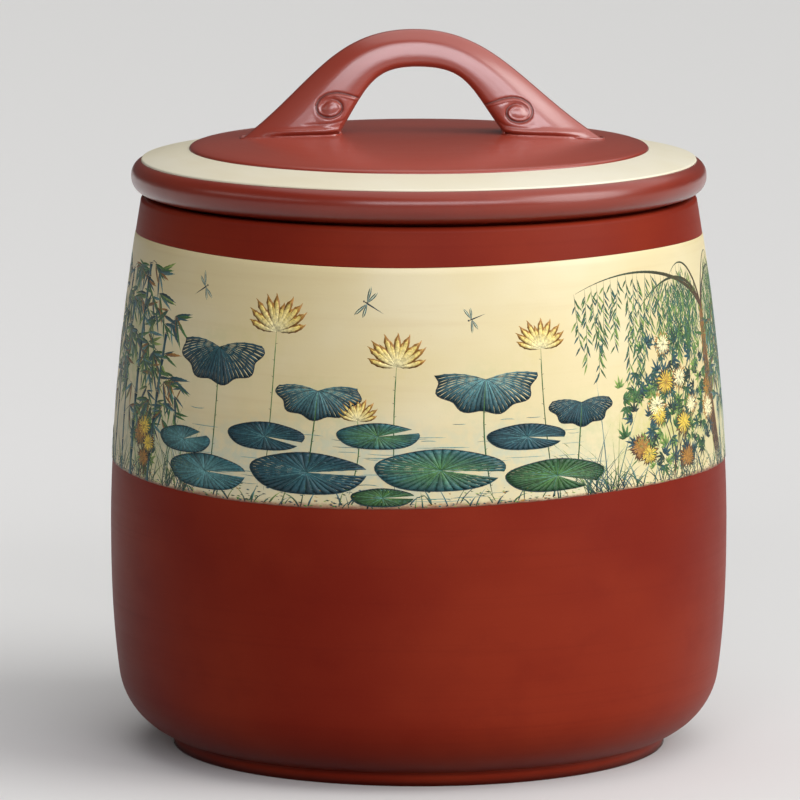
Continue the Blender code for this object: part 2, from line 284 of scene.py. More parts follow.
def red_clay(name, gloss, dull, painted_light=0.0, seams=False, coat=(0.0, 0.2)):
    """Burnished clay. Gloss is the strength of its sheen, dull the least roughness of it.

    The share of painted light makes it lighter on top of the lid, for the stronger light that falls there
    from above."""
    clay = Finish(name)
    drift = clay.noise(DRIFT_SCALE, detail=3)
    rings = clay.noise_at(wheel_marks(clay), detail=3, roughness=0.6)
    grain = clay.noise(GRAIN_SCALE)
    mottle = clay.noise(MOTTLE_SCALE, detail=4, roughness=0.6)
    colour = clay.blend(clay.between(drift, *DRIFT_SPAN), CLAY, CLAY_WARM)
    colour = clay.cover(colour, mottle, MOTTLE_SPAN, DEEPENED, CLAY_DEEP)
    colour = clay.cover(colour, rings, RINGS_SPAN, DEEPENED, CLAY_DEEP)
    colour = clay.cover(colour, grain, GRAIN_SPAN, SPECKED, CLAY_SPECK)
    # Painted light: the dome and the handle on it are mixed lighter, for the light that falls on them from
    # above.
    if painted_light:
        colour = clay.cover(colour, height_in(clay), PAINTED_LIGHT_SPAN, painted_light, CLAY_PAINTED_LIGHT)
    rough = dull + MOTTLE_DULLS * mottle + RINGS_DULL * rings
    height = 0.55 * rings + 0.45 * grain
    if seams:
        # The grooves are darkened partly by clay dust and partly by painted shade that falls into them.
        seam = clay.attribute("seam", "Fac")
        colour = clay.cover(colour, seam, SEAM_SPAN, DUST_AND_SHADE_SHARE, CLAY_DUST_AND_SHADE)
        rough = rough + SEAM_DULLS * seam
    return clay.set(
        Base_Color=colour,
        Roughness=rough,
        Normal=clay.bump(height, GRAIN_DEPTH),
        Specular_IOR_Level=gloss,
        Coat_Weight=coat[0],
        Coat_Roughness=coat[1],
    )


CLAY_FINISH = red_clay("red_clay_jar", gloss=0.09, dull=0.38)
LID_FINISH = red_clay("red_clay_lid", gloss=0.22, dull=0.30, painted_light=0.95, coat=(0.8, 0.25))
print("finishes", CLAY_FINISH.name, LID_FINISH.name)

# %% [markdown]
# ## Cream slip
#
# The slip is a liquid clay brushed over the red one and rubbed when dry. It has the tone of
# ivory, warmer where it is thin, with long soft brush streaks round the jar and fine pits. On
# the band the finish also carries soft washes of colour, kept in an attribute of the mesh, and
# along the lower edge the red clay shows through the feathered end of the coat.

# %% Mix the cream slip
CREAM = [(0.755, 0.640, 0.350, 1.0), (0.640, 0.490, 0.235, 1.0), (0.790, 0.695, 0.430, 1.0)]
# The ring's coats are mixed paler and lighter than the band's, as painted light for the stronger light that
# falls on top of the lid.
CREAM_PAINTED_LIGHT = [(0.740, 0.680, 0.500, 1.0), (0.650, 0.555, 0.360, 1.0), (0.770, 0.722, 0.570, 1.0)]
STREAK_SCALE = (14, 14, 260)
CLOUD_SCALE = (16, 16, 22)
PIT_SCALE = (1500, 1500, 1500)
WASH_SCALE = (240, 240, 240)
RAG_SCALE = (420, 420, 700)
PATCH_SCALE = (30, 30, 30)
STREAK_SPAN = (0.45, 0.85)
CLOUD_SPAN = (0.35, 0.68)
PIT_SPAN = (0.66, 0.80)
THINNED = 0.30
WASH_SPAN = (0.02, 1.0)
WASHED = 0.92
RAG_SHOWS = 0.0022
RAG_BELOW = -0.0012
PATCH_ABOVE = (0.0004, 0.0013)
CLAY_SHOWS = 0.88
STREAKS_DULL = 0.14


def cream_slip(name, coats, washes=False):
    """Slip in three coats: the plain one, the one brushed thin, and the thick pale one."""
    plain, thin, pale = coats
    slip = Finish(name)
    streaks = slip.noise(STREAK_SCALE, detail=4, roughness=0.6)
    cloud = slip.noise(CLOUD_SCALE, detail=3)
    pits = slip.noise(PIT_SCALE)
    colour = slip.blend(slip.between(cloud, *CLOUD_SPAN), plain, pale)
    colour = slip.cover(colour, streaks, STREAK_SPAN, THINNED, thin)
    colour = slip.cover(colour, pits, PIT_SPAN, THINNED, thin)
    if washes:
        edge = slip.noise(WASH_SCALE, detail=4, roughness=0.62)
        depth = slip.attribute("wash", "Alpha") * slip.between(edge, 0.30, 0.66, 0.45, 1.15)
        colour = slip.cover(colour, depth, WASH_SPAN, WASHED, slip.attribute("wash", "Color"))
        ragged = slip.attribute("above_edge", "Fac")
        ragged = ragged - RAG_SHOWS * slip.noise(RAG_SCALE, detail=4, roughness=0.7)
        patches = slip.between(slip.noise(PATCH_SCALE), 0.42, 0.62, *PATCH_ABOVE)
        colour = slip.blend(slip.between(ragged, RAG_BELOW, patches, CLAY_SHOWS, 0), colour, CLAY)
    return slip.set(
        Base_Color=colour,
        Roughness=0.40 + STREAKS_DULL * streaks,
        Normal=slip.bump(0.6 * streaks + 0.4 * pits, GRAIN_DEPTH),
        Specular_IOR_Level=0.40,
        Coat_Weight=0.12,
        Coat_Roughness=0.25,
    )


SLIP_FINISH = cream_slip("cream_slip_ring", CREAM_PAINTED_LIGHT)
BAND_FINISH = cream_slip("cream_slip_washed", CREAM, washes=True)
print("finishes", SLIP_FINISH.name, BAND_FINISH.name)

# %% [markdown]
# ## Turning on the wheel
#
# All the round pieces are turned. On a potter's wheel the shape comes from one outline held
# against the spinning clay. Here a plane is merged to a single point, the point is extruded
# along the outline, and the chain is spun once round the axis. Merging what meets at the axis
# closes the poles, and the normals are turned outwards afterwards.

# %% Define the turning tools
FINE = 288
START_SIZE = 0.001
WELD = 0.000002


def deselect():
    for thing in bpy.context.selected_objects:
        thing.select_set(False)


def select_only(thing):
    deselect()
    thing.select_set(True)
    bpy.context.view_layer.objects.active = thing


def spread(start, end, count):
    """Evenly spaced values from start to end, both included."""
    return [start + (end - start) * i / (count - 1) for i in range(count)]


def turn(name, outline, closed=False, segments=FINE):
    """Spins an outline of (radius, height) points round the Z axis."""
    deselect()
    radius, height = outline[0]
    bpy.ops.mesh.primitive_plane_add(size=START_SIZE, location=(0, 0, 0))
    piece = bpy.context.object
    piece.name = name
    piece.data.name = name
    bpy.ops.object.mode_set(mode="EDIT")
    bpy.ops.mesh.select_all(action="SELECT")
    bpy.ops.mesh.merge(type="CENTER")
    bpy.ops.transform.translate(value=(radius, 0, height))
    for before, after in zip(outline, outline[1:]):
        step = (after[0] - before[0], 0, after[1] - before[1])
        bpy.ops.mesh.extrude_region_move(TRANSFORM_OT_translate={"value": step})
    bpy.ops.mesh.select_all(action="SELECT")
    if closed:
        mesh = bmesh.from_edit_mesh(piece.data)
        mesh.verts.ensure_lookup_table()
        ends = [v for v in mesh.verts if len(v.link_edges) == 1]
        mesh.edges.new(ends)
        bmesh.update_edit_mesh(piece.data)
        bpy.ops.mesh.select_all(action="SELECT")
    bpy.ops.mesh.spin(steps=segments, angle=2 * pi, center=(0, 0, 0), axis=(0, 0, 1))
    bpy.ops.mesh.select_all(action="SELECT")
    bpy.ops.mesh.remove_doubles(threshold=WELD)
    bpy.ops.mesh.normals_make_consistent(inside=False)
    bpy.ops.object.mode_set(mode="OBJECT")
    bpy.ops.object.shade_smooth()
    return piece


print("turned pieces have", FINE, "steps round the axis")

# %% Define how corners are eased and pieces are settled
def eased(start, corner, end, t):
    """Point of the curve from start to end that bends towards a corner."""
    return start * (1 - t) ** 2 + corner * 2 * t * (1 - t) + end * t ** 2


def rounded(corners, steps=5):
    """Points along straight runs whose corners, given with a reach, are eased into curves."""
    points = []
    for i, (radius, height, reach) in enumerate(corners):
        here = Vector((radius, height))
        if not reach:
            points.append((radius, height))
            continue
        before = Vector(corners[i - 1][:2])
        after = Vector(corners[(i + 1) % len(corners)][:2])
        start = here + (before - here).normalized() * reach
        end = here + (after - here).normalized() * reach
        points += [tuple(eased(start, here, end, t)) for t in spread(0.0, 1.0, steps)]
    return points


def settle(piece, body, slot, finish, *nodes):
    """Gives a piece its finish and its body, and hides the nodes that it stands for."""
    piece.data.materials.clear()
    piece.data.materials.append(finish)
    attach(piece, body)
    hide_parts(*nodes)
    print(f"{piece.name}: {len(piece.data.polygons)} faces on body {body}")


print("a corner eased:", rounded([(0, 0, 0), (1, 0, 0.5), (1, 1, 0)], steps=3))

# %% [markdown]
# ## Jar body
#
# The pot swells to a belly a third of the way up, draws in slowly to the mouth and quickly at
# the rounded heel. The wall's radius is a power curve above and below the belly, and the heel
# is an arc that leaves the wall at the wall's own slope. A shallow recess takes the slip band.
#
# The band was laid by hand, so both its edges stray from the level by a millimetre or two. Three
# slow waves round the jar give each edge its course, and the recess follows the same course.

# %% Work out the curve of the wall
HEEL_RADIUS = BELLY_RADIUS - HEEL_DRAW
HEEL_HEIGHT = FOOT_HEIGHT + HEEL_ROUND * (1 - sin(HEEL_SLOPE))
HEEL_CENTRE = (HEEL_RADIUS - HEEL_ROUND * cos(HEEL_SLOPE), FOOT_HEIGHT + HEEL_ROUND)
LOWER_POWER = tan(HEEL_SLOPE) * (BELLY_HEIGHT - HEEL_HEIGHT) / HEEL_DRAW


def shoulder_radius(z):
    """Outer radius of the clay wall above the belly, for one height or a row of them."""
    return BELLY_RADIUS - (BELLY_RADIUS - MOUTH_RADIUS) * rise_above_belly(z) ** SHOULDER_POWER


def rise_above_belly(z):
    return (z - BELLY_HEIGHT) / (MOUTH_HEIGHT - BELLY_HEIGHT)


def wall_radius(z):
    """Outer radius of the clay wall at a height above the heel."""
    if z >= BELLY_HEIGHT:
        return shoulder_radius(z)
    t = (BELLY_HEIGHT - z) / (BELLY_HEIGHT - HEEL_HEIGHT)
    return BELLY_RADIUS - HEEL_DRAW * t ** LOWER_POWER


def arc(centre, radius, start, end, count):
    """Points of an arc, its angles in radians."""
    angles = spread(start, end, count)
    return [(centre[0] + radius * cos(a), centre[1] + radius * sin(a)) for a in angles]


print(f"the wall is {wall_radius(HEEL_HEIGHT):.4f} m from the axis at the heel")

# %% Let the edges of the band wander
MILLIMETRE = 0.001
WANDER_REACH = 0.0120
LOWER_WANDER = [(1, 0.80, 0.86), (2, 1.53, -1.04), (3, 0.51, -0.39)]
UPPER_WANDER = [(1, 0.76, 1.64), (2, 0.32, -1.05), (3, 0.77, -1.11)]


def waves_at(angle, waves):
    """Sum of sine waves at an angle, each with its count round the jar, its size and its start."""
    return sum(size * np.sin(count * angle + start) for count, size, start in waves)


def wander(angle, waves):
    """How far an edge strays from the level at an angle from the front."""
    return MILLIMETRE * waves_at(angle, waves)


def strayed(z, angle):
    """Where a height ends up when both edges of the band stray."""
    low = np.clip(1 - np.abs(z - BAND_BOTTOM) / WANDER_REACH, 0, 1)
    high = np.clip(1 - np.abs(z - BAND_TOP) / WANDER_REACH, 0, 1)
    return z + low * wander(angle, LOWER_WANDER) + high * wander(angle, UPPER_WANDER)


def read_points(piece, what="co"):
    values = np.empty(3 * len(piece.data.vertices))
    piece.data.vertices.foreach_get(what, values)
    return values.reshape(-1, 3)


def write_points(piece, points):
    piece.data.vertices.foreach_set("co", points.ravel())
    piece.data.update()


def let_wander(piece):
    """Moves the points of the outer wall up and down it, along with the edges of the band."""
    points = read_points(piece)
    z = np.maximum(points[:, 2], BELLY_HEIGHT)
    radius = np.hypot(points[:, 0], points[:, 1])
    outside = (points[:, 2] > BELLY_HEIGHT) & (radius > shoulder_radius(z) - 2 * SLIP)
    moved = np.where(outside, strayed(z, np.arctan2(points[:, 0], -points[:, 1])), points[:, 2])
    landed = shoulder_radius(np.maximum(moved, BELLY_HEIGHT))
    moved_in = np.where(outside, shoulder_radius(z) - landed, 0)
    points[:, :2] *= (1 - moved_in / np.maximum(radius, SLIP))[:, None]
    points[:, 2] = moved
    write_points(piece, points)


print(f"the lower edge strays by {wander(0.0, LOWER_WANDER):.5f} m at the front")

# %% Turn the jar body
LIP_ROUND = 0.0020
SEAM = 0.00006
CRISP = 0.0003
INNER_HEEL_ROWS = 10
INNER_WALL_ROWS = 26
LIP_ROWS = 6
NECK_ROWS = 8
RECESS_ROWS = 20
WALL_ROWS = 34
HEEL_ROWS = 20


def jar_outline():
    top = MOUTH_HEIGHT - LIP_ROUND
    bore = MOUTH_RADIUS - WALL
    bed = SLIP - SLIP_PROUD + SEAM
    inner_floor = [(0.0, FOOT_HEIGHT + WALL)]
    inner_heel = arc(HEEL_CENTRE, HEEL_ROUND - WALL, -pi / 2, -HEEL_SLOPE, INNER_HEEL_ROWS)
    inside = [(wall_radius(z) - WALL, z) for z in spread(HEEL_HEIGHT, top, INNER_WALL_ROWS)][1:]
    lip_in = arc((bore + LIP_ROUND, top), LIP_ROUND, pi, pi / 2, LIP_ROWS)[1:]
    lip_out = arc((wall_radius(top) - LIP_ROUND, top), LIP_ROUND, pi / 2, 0, LIP_ROWS)
    neck_heights = spread(top, BAND_TOP + CRISP, NECK_ROWS)[1:] + [BAND_TOP]
    neck = [(wall_radius(z), z) for z in neck_heights]
    recess = [(wall_radius(z) - bed, z) for z in spread(BAND_TOP, BAND_BOTTOM, RECESS_ROWS)]
    below_heights = [BAND_BOTTOM] + spread(BAND_BOTTOM - CRISP, HEEL_HEIGHT, WALL_ROWS)
    below = [(wall_radius(z), z) for z in below_heights]
    heel = arc(HEEL_CENTRE, HEEL_ROUND, -HEEL_SLOPE, -pi / 2, HEEL_ROWS)[1:]
    outside = lip_out + neck + recess + below + heel + [(0.0, FOOT_HEIGHT)]
    return inner_floor + inner_heel + inside + lip_in + outside


jar_pot = turn("jar_pot", jar_outline())
let_wander(jar_pot)
settle(jar_pot, "jar", "red_clay", CLAY_FINISH, "jar_body")

# %% [markdown]
# ## Foot ring
#
# The ring on which the jar stands is a coil of clay pressed on under the heel. The potter runs
# a finger round the joint, which leaves a small hollow fillet between the ring and the heel.

# %% Turn the foot ring
FILLET = 0.0016
FILLET_STEPS = [(0.42, 0.10), (0.12, 0.48), (0.0, 1.0)]
SOLE_ROUND_OUT = 0.0011
SOLE_ROUND_IN = 0.0009
SEAT_ROWS = 10


def heel_height(radius):
    """Height of the underside of the heel at a distance from the axis."""
    run = max(0.0, radius - HEEL_CENTRE[0])
    return HEEL_CENTRE[1] - (HEEL_ROUND ** 2 - run ** 2) ** 0.5


def foot_outline():
    inner = FOOT_RADIUS - FOOT_WIDTH
    seat = [(r, heel_height(r) + SEAM) for r in spread(inner, FOOT_RADIUS + FILLET, SEAT_ROWS)]
    joint = heel_height(FOOT_RADIUS)
    fillet = [(FOOT_RADIUS + FILLET * out, joint - FILLET * down) for out, down in FILLET_STEPS]
    sole = rounded([(FOOT_RADIUS, 0.0, SOLE_ROUND_OUT), (inner, 0.0, SOLE_ROUND_IN)])
    return seat + fillet + sole


jar_foot = turn("jar_foot", foot_outline(), closed=True)
settle(jar_foot, "jar", "red_clay", CLAY_FINISH, "foot_ring")

# %% [markdown]
# ## Slip band
#
# The band is laid into its recess and rubbed almost flush. Its upper edge is trimmed clean on
# the wheel and catches the light as a thin line. Its lower edge was brushed: it is ragged by a
# fraction of a millimetre and runs over the red clay in places. The edge is moved in code with
# a few sine waves of unlike lengths, so that it never repeats within sight. How high each point
# lies above that edge is kept as an attribute, and the finish lets the clay show through there.

# %% Turn the slip band
BAND_SEGMENTS = 600
EDGE_EASE = 0.0005
RAG_DEPTH = 0.00042
RAG_REACH = 0.0020
RAG_WAVES = [(3, 0.30, 0.7), (17, 0.25, 2.1), (61, 0.20, 0.0), (113, 0.25, 1.3), (197, 0.20, 0.4)]
FACE_ROWS = 40


def face_radius(z):
    """Radius of the outer face of the slip, for one height or a row of them."""
    return shoulder_radius(z) + SLIP_PROUD


def band_outline():
    heights = spread(BAND_TOP - EDGE_EASE, BAND_BOTTOM + EDGE_EASE, FACE_ROWS)
    face = [(face_radius(z), z) for z in heights]
    back_top = wall_radius(BAND_TOP) + SLIP_PROUD - SLIP
    back_low = wall_radius(BAND_BOTTOM) + SLIP_PROUD - SLIP
    face_top = face_radius(BAND_TOP)
    face_low = face_radius(BAND_BOTTOM)
    top = [
        (back_top, BAND_TOP),
        (face_top - EDGE_EASE, BAND_TOP),
        (face_top - EDGE_EASE / 4, BAND_TOP - EDGE_EASE / 4),
    ]
    low = [
        (face_low - EDGE_EASE / 5, BAND_BOTTOM + EDGE_EASE / 6),
        (face_low - EDGE_EASE, BAND_BOTTOM),
        (back_low, BAND_BOTTOM),
    ]
    return top + face + low


def rag(angle):
    """How far the brushed edge runs down at an angle round the jar, from 0 to about 1."""
    return 0.5 + 0.5 * waves_at(angle, RAG_WAVES)


slip_band = turn("slip_band", band_outline(), closed=True, segments=BAND_SEGMENTS)
for vertex in slip_band.data.vertices:
    near = 1 - (vertex.co.z - BAND_BOTTOM) / RAG_REACH
    if near > 0:
        vertex.co.z -= RAG_DEPTH * min(1.0, near) * rag(atan2(vertex.co.y, vertex.co.x))
above_edge = (read_points(slip_band)[:, 2] - BAND_BOTTOM).astype(np.float32)
slip_band.data.attributes.new("above_edge", "FLOAT", "POINT").data.foreach_set("value", above_edge)
let_wander(slip_band)
settle(slip_band, "jar", "cream_slip", BAND_FINISH, "body_slip_band")

# %% [markdown]
# ## Painting on the band
#
# The band is painted as such jars are: a garden pond with water plants, bamboo, flowering
# bushes and willows runs all the way round, in ink, teal, leaf green and ochre. A picture file
# isn't used. Every brush stroke is a real, very thin ridge of paint on the slip, and its colour
# is kept in an attribute of the mesh, so that the painting stays sharp from close by.
#
# All strokes are copies of one straight stroke: a flat bar with four sides, its edges below
# the surface of the slip and its back a few hundredths of a millimetre above it. A copy gets
# its own width, its own bend and its own two colours, from where the brush starts to where it
# lifts. Each kind of stroke has its own coat, and veins and outlines lie in a higher one than
# what they are drawn on. The drawing is laid out flat, in millimetres round the band and up it.

# %% Model the straight stroke once
DRAWN_RADIUS = 0.120
EDGE_SUNK = 0.00003
STROKE_SLICES = (2, 3, 5, 8, 16, 40)


def cut_across(bar, axis, cuts):
    """Cuts a straight bar across by subdividing the long edges, which run along the axis."""
    bpy.ops.object.mode_set(mode="EDIT")
    bpy.ops.mesh.select_all(action="DESELECT")
    mesh = bmesh.from_edit_mesh(bar.data)
    for edge in mesh.edges:
        run = edge.verts[0].co - edge.verts[1].co
        edge.select = abs(run[axis]) > 0.5
    bmesh.update_edit_mesh(bar.data)
    bpy.ops.mesh.subdivide(number_cuts=cuts)
    bpy.ops.object.mode_set(mode="OBJECT")


def straight_stroke(slices):
    """Points and faces of a straight bar of unit length, cut into slices."""
    deselect()
    bpy.ops.mesh.primitive_cylinder_add(vertices=4, radius=1, depth=1, location=(0, 0, 0))
    bar = bpy.context.object
    cut_across(bar, 2, slices - 1)
    points = np.array([(v.co.z + 0.5, v.co.y, -v.co.x) for v in bar.data.vertices])
    faces = np.array([list(face.vertices) for face in bar.data.polygons])
    bpy.data.objects.remove(bar)
    return points, faces


STROKES = {slices: straight_stroke(slices) for slices in STROKE_SLICES}
print("straight strokes:", {slices: len(faces) for slices, (points, faces) in STROKES.items()})

# %% Name the coats and the shapes of a stroke
STEM_COAT = 0.00004
FIRST_COAT = 0.00006
PETAL_COAT = 0.00007
FAN_COAT = 0.00008
GLINT_COAT = 0.00009
LINE_COAT = 0.00010
VEIN_COAT = 0.00012
TOP_COAT = 0.00013
SHAPES = {
    "leaf": lambda t: np.sin(pi * t ** 0.75) ** 0.8,
    "blade": lambda t: (1 - t) ** 0.7 * (0.55 + 0.45 * np.minimum(1, 5 * t)),
    "line": lambda t: np.minimum(1, 0.35 + 5 * np.minimum(t, 1 - t)),
    "petal": lambda t: np.sin(pi * t ** 1.3) ** 0.6,
    "wedge": lambda t: 0.10 + 0.90 * t,
    "cane": lambda t: 1 + 0.35 * np.abs(2 * t - 1) ** 6,
    "twig": lambda t: 0.08 + 0.92 * (1 - t),
}
print("shapes of a stroke:", list(SHAPES))

# %% Bend a copy of the stroke along a path on the band
LOOK_AHEAD = 0.01
LEAST_WIDTH = 0.04


def along(path, t):
    """Points of a smooth path at each share t of its length. Up to four points bend it."""
    path = np.array(path, float)
    if len(path) > 4:
        marks = np.linspace(0, 1, len(path))
        return np.stack([np.interp(t, marks, path[:, k]) for k in (0, 1)], axis=1)
    points = [np.outer(np.ones_like(t), point) for point in path]
    while len(points) > 1:
        points = [a + (b - a) * t[:, None] for a, b in zip(points, points[1:])]
    return points[0]


class Brushwork:
    """Strokes of paint that together make one piece of the painting."""

    def __init__(self):
        self.points = []
        self.faces = []
        self.colours = []
        self.total = 0
        self.layer = 0

    def stroke(self, path, width, shape, start, end=None, slices=3, coat=FIRST_COAT, rim=None):
        """Adds one stroke. A rim is the step, in millimetres, that its broad end lies along."""
        base, faces = STROKES[slices]
        t = base[:, 0]
        middle = along(path, t)
        ahead = along(path, np.minimum(t + LOOK_AHEAD, 1)) - along(path, np.maximum(t - LOOK_AHEAD, 0))
        ahead /= np.maximum(np.linalg.norm(ahead, axis=1), 1e-9)[:, None]
        full = np.maximum(SHAPES[shape](np.clip(t, 0, 1)), LEAST_WIDTH)
        across = np.stack([-ahead[:, 1], ahead[:, 0]], axis=1) * width
        if rim is not None:
            across = np.outer(np.ones_like(t), rim)
        flat = (middle + across * (base[:, 1] * full / 2)[:, None]) * MILLIMETRE
        lift = (coat + self.layer) * np.sqrt(full)
        sunk = np.where(base[:, 2] < -0.5, -2 * EDGE_SUNK, -EDGE_SUNK)
        height = np.where(base[:, 2] > 0.5, lift, sunk)
        angle = flat[:, 0] / DRAWN_RADIUS
        z = strayed(BAND_BOTTOM + flat[:, 1], angle)
        radius = face_radius(z) + height
        self.points.append(np.stack([radius * np.sin(angle), -radius * np.cos(angle), z], axis=1))
        self.faces.append(faces + self.total)
        first = np.array(start)
        last = np.array(end or start)
        self.colours.append(first + (last - first) * t[:, None])
        self.total += len(base)

    def piece(self, name, finish):
        mesh = bpy.data.meshes.new(name)
        mesh.from_pydata(np.concatenate(self.points), [], np.concatenate(self.faces))
        colour = mesh.color_attributes.new("paint", "FLOAT_COLOR", "POINT")
        rgba = np.ones((self.total, 4))
        rgba[:, :3] = np.concatenate(self.colours)
        colour.data.foreach_set("color", rgba.ravel().astype(np.float32))
        painted = bpy.data.objects.new(name, mesh)
        bpy.context.scene.collection.objects.link(painted)
        mesh.materials.append(finish)
        mesh.shade_smooth()
        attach(painted, "jar")
        print(f"{name}: {len(self.points)} strokes, {2 * len(mesh.polygons)} triangles")


print("middle of a bent path:", along([(0, 0), (1, 1), (2, 0)], np.array([0.5]))[0])

# %% [markdown]
# ## Paint
#
# The paints are ground colours under a thin satin coat. Each lies a little unevenly, darker
# where the brush was wet, so the colour of a stroke is multiplied by a fine noise.

# %% Mix the paints
INK = (0.014, 0.019, 0.026)
DEEP_TEAL = (0.012, 0.045, 0.060)
TEAL = (0.026, 0.100, 0.112)
AQUA = (0.120, 0.290, 0.285)
PINE = (0.016, 0.062, 0.026)
LEAF = (0.068, 0.180, 0.040)
LIME = (0.290, 0.400, 0.090)
OCHRE = (0.380, 0.180, 0.030)
BROWN = (0.085, 0.036, 0.016)
YELLOW = (0.720, 0.520, 0.070)
PALE = (0.860, 0.790, 0.450)
POOL_SCALE = (900, 900, 900)
POOL_SHADE = (0.72, 1.30)


def paint_finish():
    paint = Finish("paint_on_slip")
    colour = paint.attribute("paint", "Color")
    pool = paint.noise(POOL_SCALE, detail=3, roughness=0.6)
    shade = paint.between(pool, 0.3, 0.7, *POOL_SHADE)
    shaded = paint.node("ShaderNodeVectorMath", {"operation": "SCALE"}, {0: colour, "Scale": shade})
    return paint.set(
        Base_Color=shaded,
        Roughness=0.36 + 0.2 * pool,
        Specular_IOR_Level=0.35,
        Coat_Weight=0.1,
        Coat_Roughness=0.25,
    )


PAINT_FINISH = paint_finish()
print("finish", PAINT_FINISH.name)

# %% Find places and tones on the drawing
def toned(colour, dice, reach=0.3):
    """A colour, a little lighter or darker by chance."""
    factor = 1 + dice.uniform(-reach, reach)
    return tuple(channel * factor for channel in colour)


def off(place, length, heading):
    """The place at a length and a heading, in degrees, from another."""
    a = radians(heading)
    return (place[0] + length * cos(a), place[1] + length * sin(a))


def oval(centre, size, angle, share=1.0):
    """The place at an angle, in radians, on an oval, or at a share of its size."""
    return (centre[0] + size[0] * share * cos(angle), centre[1] + size[1] * share * sin(angle))


def part_way(start, end, share):
    return (start[0] + share * (end[0] - start[0]), start[1] + share * (end[1] - start[1]))


def halfway(start, end, rise=0.0):
    """The place midway between two others, or one that lies above it by a rise."""
    return ((start[0] + end[0]) / 2, (start[1] + end[1]) / 2 + rise)


def bent(base, length, heading, bend):
    """A path from its base whose second half turns by bend, in degrees."""
    middle = off(base, length / 2, heading)
    return [base, middle, off(middle, length / 2, heading + bend)]


def leaf(work, dice, base, heading, length, width, colours, bend=0.0, slices=5):
    """A pointed leaf from its base, in a heading in degrees that turns by bend."""
    start, end = (toned(colour, dice) for colour in colours)
    work.stroke(bent(base, length, heading, bend), width, "leaf", start, end, slices)


print("tip of a bent path:", bent((0, 0), 10, 90, 20)[-1])

# %% [markdown]
# ## Bamboo
#
# A cane is drawn in one pull for each length between two joints, with a stop at the joint. The
# joint itself is a short dark mark. Twigs leave the joints by turns, and each carries leaves
# that hang in small fans.

# %% Draw a fan of leaves
LEAF_TONES = [
    (DEEP_TEAL, TEAL), (INK, TEAL), (PINE, LEAF), (DEEP_TEAL, LEAF), (TEAL, AQUA), (PINE, LIME),
    (PINE, LEAF), (BROWN, OCHRE),
]
FAN_HEADING = {1: -35, -1: 215}
FAN_SPREAD = 48
LEAF_BEND = 14
LEAF_SLIM = 0.19


def leaf_fan(work, dice, base, side, count, size):
    """Leaves that hang down and out from one place, on the right for side 1."""
    for _ in range(count):
        heading = FAN_HEADING[side] + dice.uniform(-FAN_SPREAD, FAN_SPREAD)
        length = size * dice.uniform(0.65, 1.2)
        tones = dice.choice(LEAF_TONES)
        bend = dice.uniform(-LEAF_BEND, LEAF_BEND)
        leaf(work, dice, base, heading, length, length * LEAF_SLIM, tones, bend)


print("tones of the leaves:", len(LEAF_TONES))

# %% Draw a cane and its foliage
CANE_STEP = (10.0, 14.5)
BAND_ROOM = 91.0
JOINT_LINE = 0.55
TWIG_LINE = 0.42
TWIGS_ABOVE = 0.3


def bamboo(work, dice, foot, height, width, slant):
    """One cane from its foot up, with its joints, and with twigs on its upper part."""
    u, v = foot
    side = dice.choice((-1, 1))
    while v < height:
        length = min(dice.uniform(*CANE_STEP), height - v + 1)
        top = (u + slant * length, v + length)
        pull = [(u, v + 0.4), (top[0], top[1] - 0.3)]
        work.stroke(pull, width, "cane", toned(TEAL, dice), toned(DEEP_TEAL, dice))
        glint = [(u - width * 0.18, v + 1.2), (top[0] - width * 0.18, top[1] - 1.2)]
        work.stroke(glint, width * 0.28, "line", AQUA, TEAL, 2, GLINT_COAT)
        joint = [(top[0] - width * 0.62, top[1]), (top[0] + width * 0.62, top[1] + 0.15)]
        work.stroke(joint, JOINT_LINE, "line", INK, slices=2, coat=LINE_COAT)
        u, v = top
        if v > height * TWIGS_ABOVE:
            side = -side
            twig = (u + side * dice.uniform(5, 13), min(v + dice.uniform(3, 8), BAND_ROOM - 8))
            work.stroke([top, (u + side * 3, v + 3), twig], TWIG_LINE, "line", INK, DEEP_TEAL)
            leaf_fan(work, dice, twig, side, count=9, size=12.5)
            leaf_fan(work, dice, halfway(top, twig, rise=1), side, count=6, size=10)


def foliage(work, dice, centre, reach, count, size):
    """A loose mass of leaf fans round a centre."""
    for _ in range(count):
        turn_by = dice.uniform(0, 2 * pi)
        out = dice.uniform(0.1, 1) ** 0.6
        u, v = oval(centre, reach, turn_by, out)
        base = (u, min(max(v, 8), BAND_ROOM - 3))
        leaf_fan(work, dice, base, dice.choice((-1, 1)), 3, size)


print(f"the drawing is {BAND_ROOM} mm high, twigs and all")

# %% Plant the groves
GROVES = [(-146, 1.0), (182, 0.86), (266, 1.0), (356, 0.6)]
CANES = [(-22, 0.95, 3.2, 0.05), (-8, 0.80, 2.4, -0.04), (3, 1.0, 3.6, 0.03), (19, 0.70, 2.6, 0.12)]
CANE_TOP = 84
CANE_FOOT = -0.2
dice = random.Random(7)
bamboo_work = Brushwork()
for place, size in GROVES:
    for shift, share, width, slant in CANES:
        foot = (place + shift * size, CANE_FOOT)
        bamboo(bamboo_work, dice, foot, CANE_TOP * share * size, width * size, slant)
    foliage(bamboo_work, dice, (place - 4, 62 * size), (34 * size, 22 * size), int(78 * size), 11)
    foliage(bamboo_work, dice, (place + 22, 36 * size), (20 * size, 14 * size), int(30 * size), 9)
bamboo_work.piece("band_bamboo", PAINT_FINISH)

# %% [markdown]
# ## Water plants
#
# The pads lie on the water and are seen almost from the side, so they are flat ovals with a
# notch. Each is filled with strokes that run from its middle to its rim, then veined and
# outlined. Tall leaves and flowers stand over them on thin stems.

# %% Draw a pad
PAD_STROKES = 40
PAD_LAYER = 0.00005
FAN_OVERLAP = 1.38
FAN_TONES = 0.38
NOTCH_HALF = 0.16
PAD_WAVE = 0.025
RIM_LINE = 0.5
VEIN_LINE = 0.3


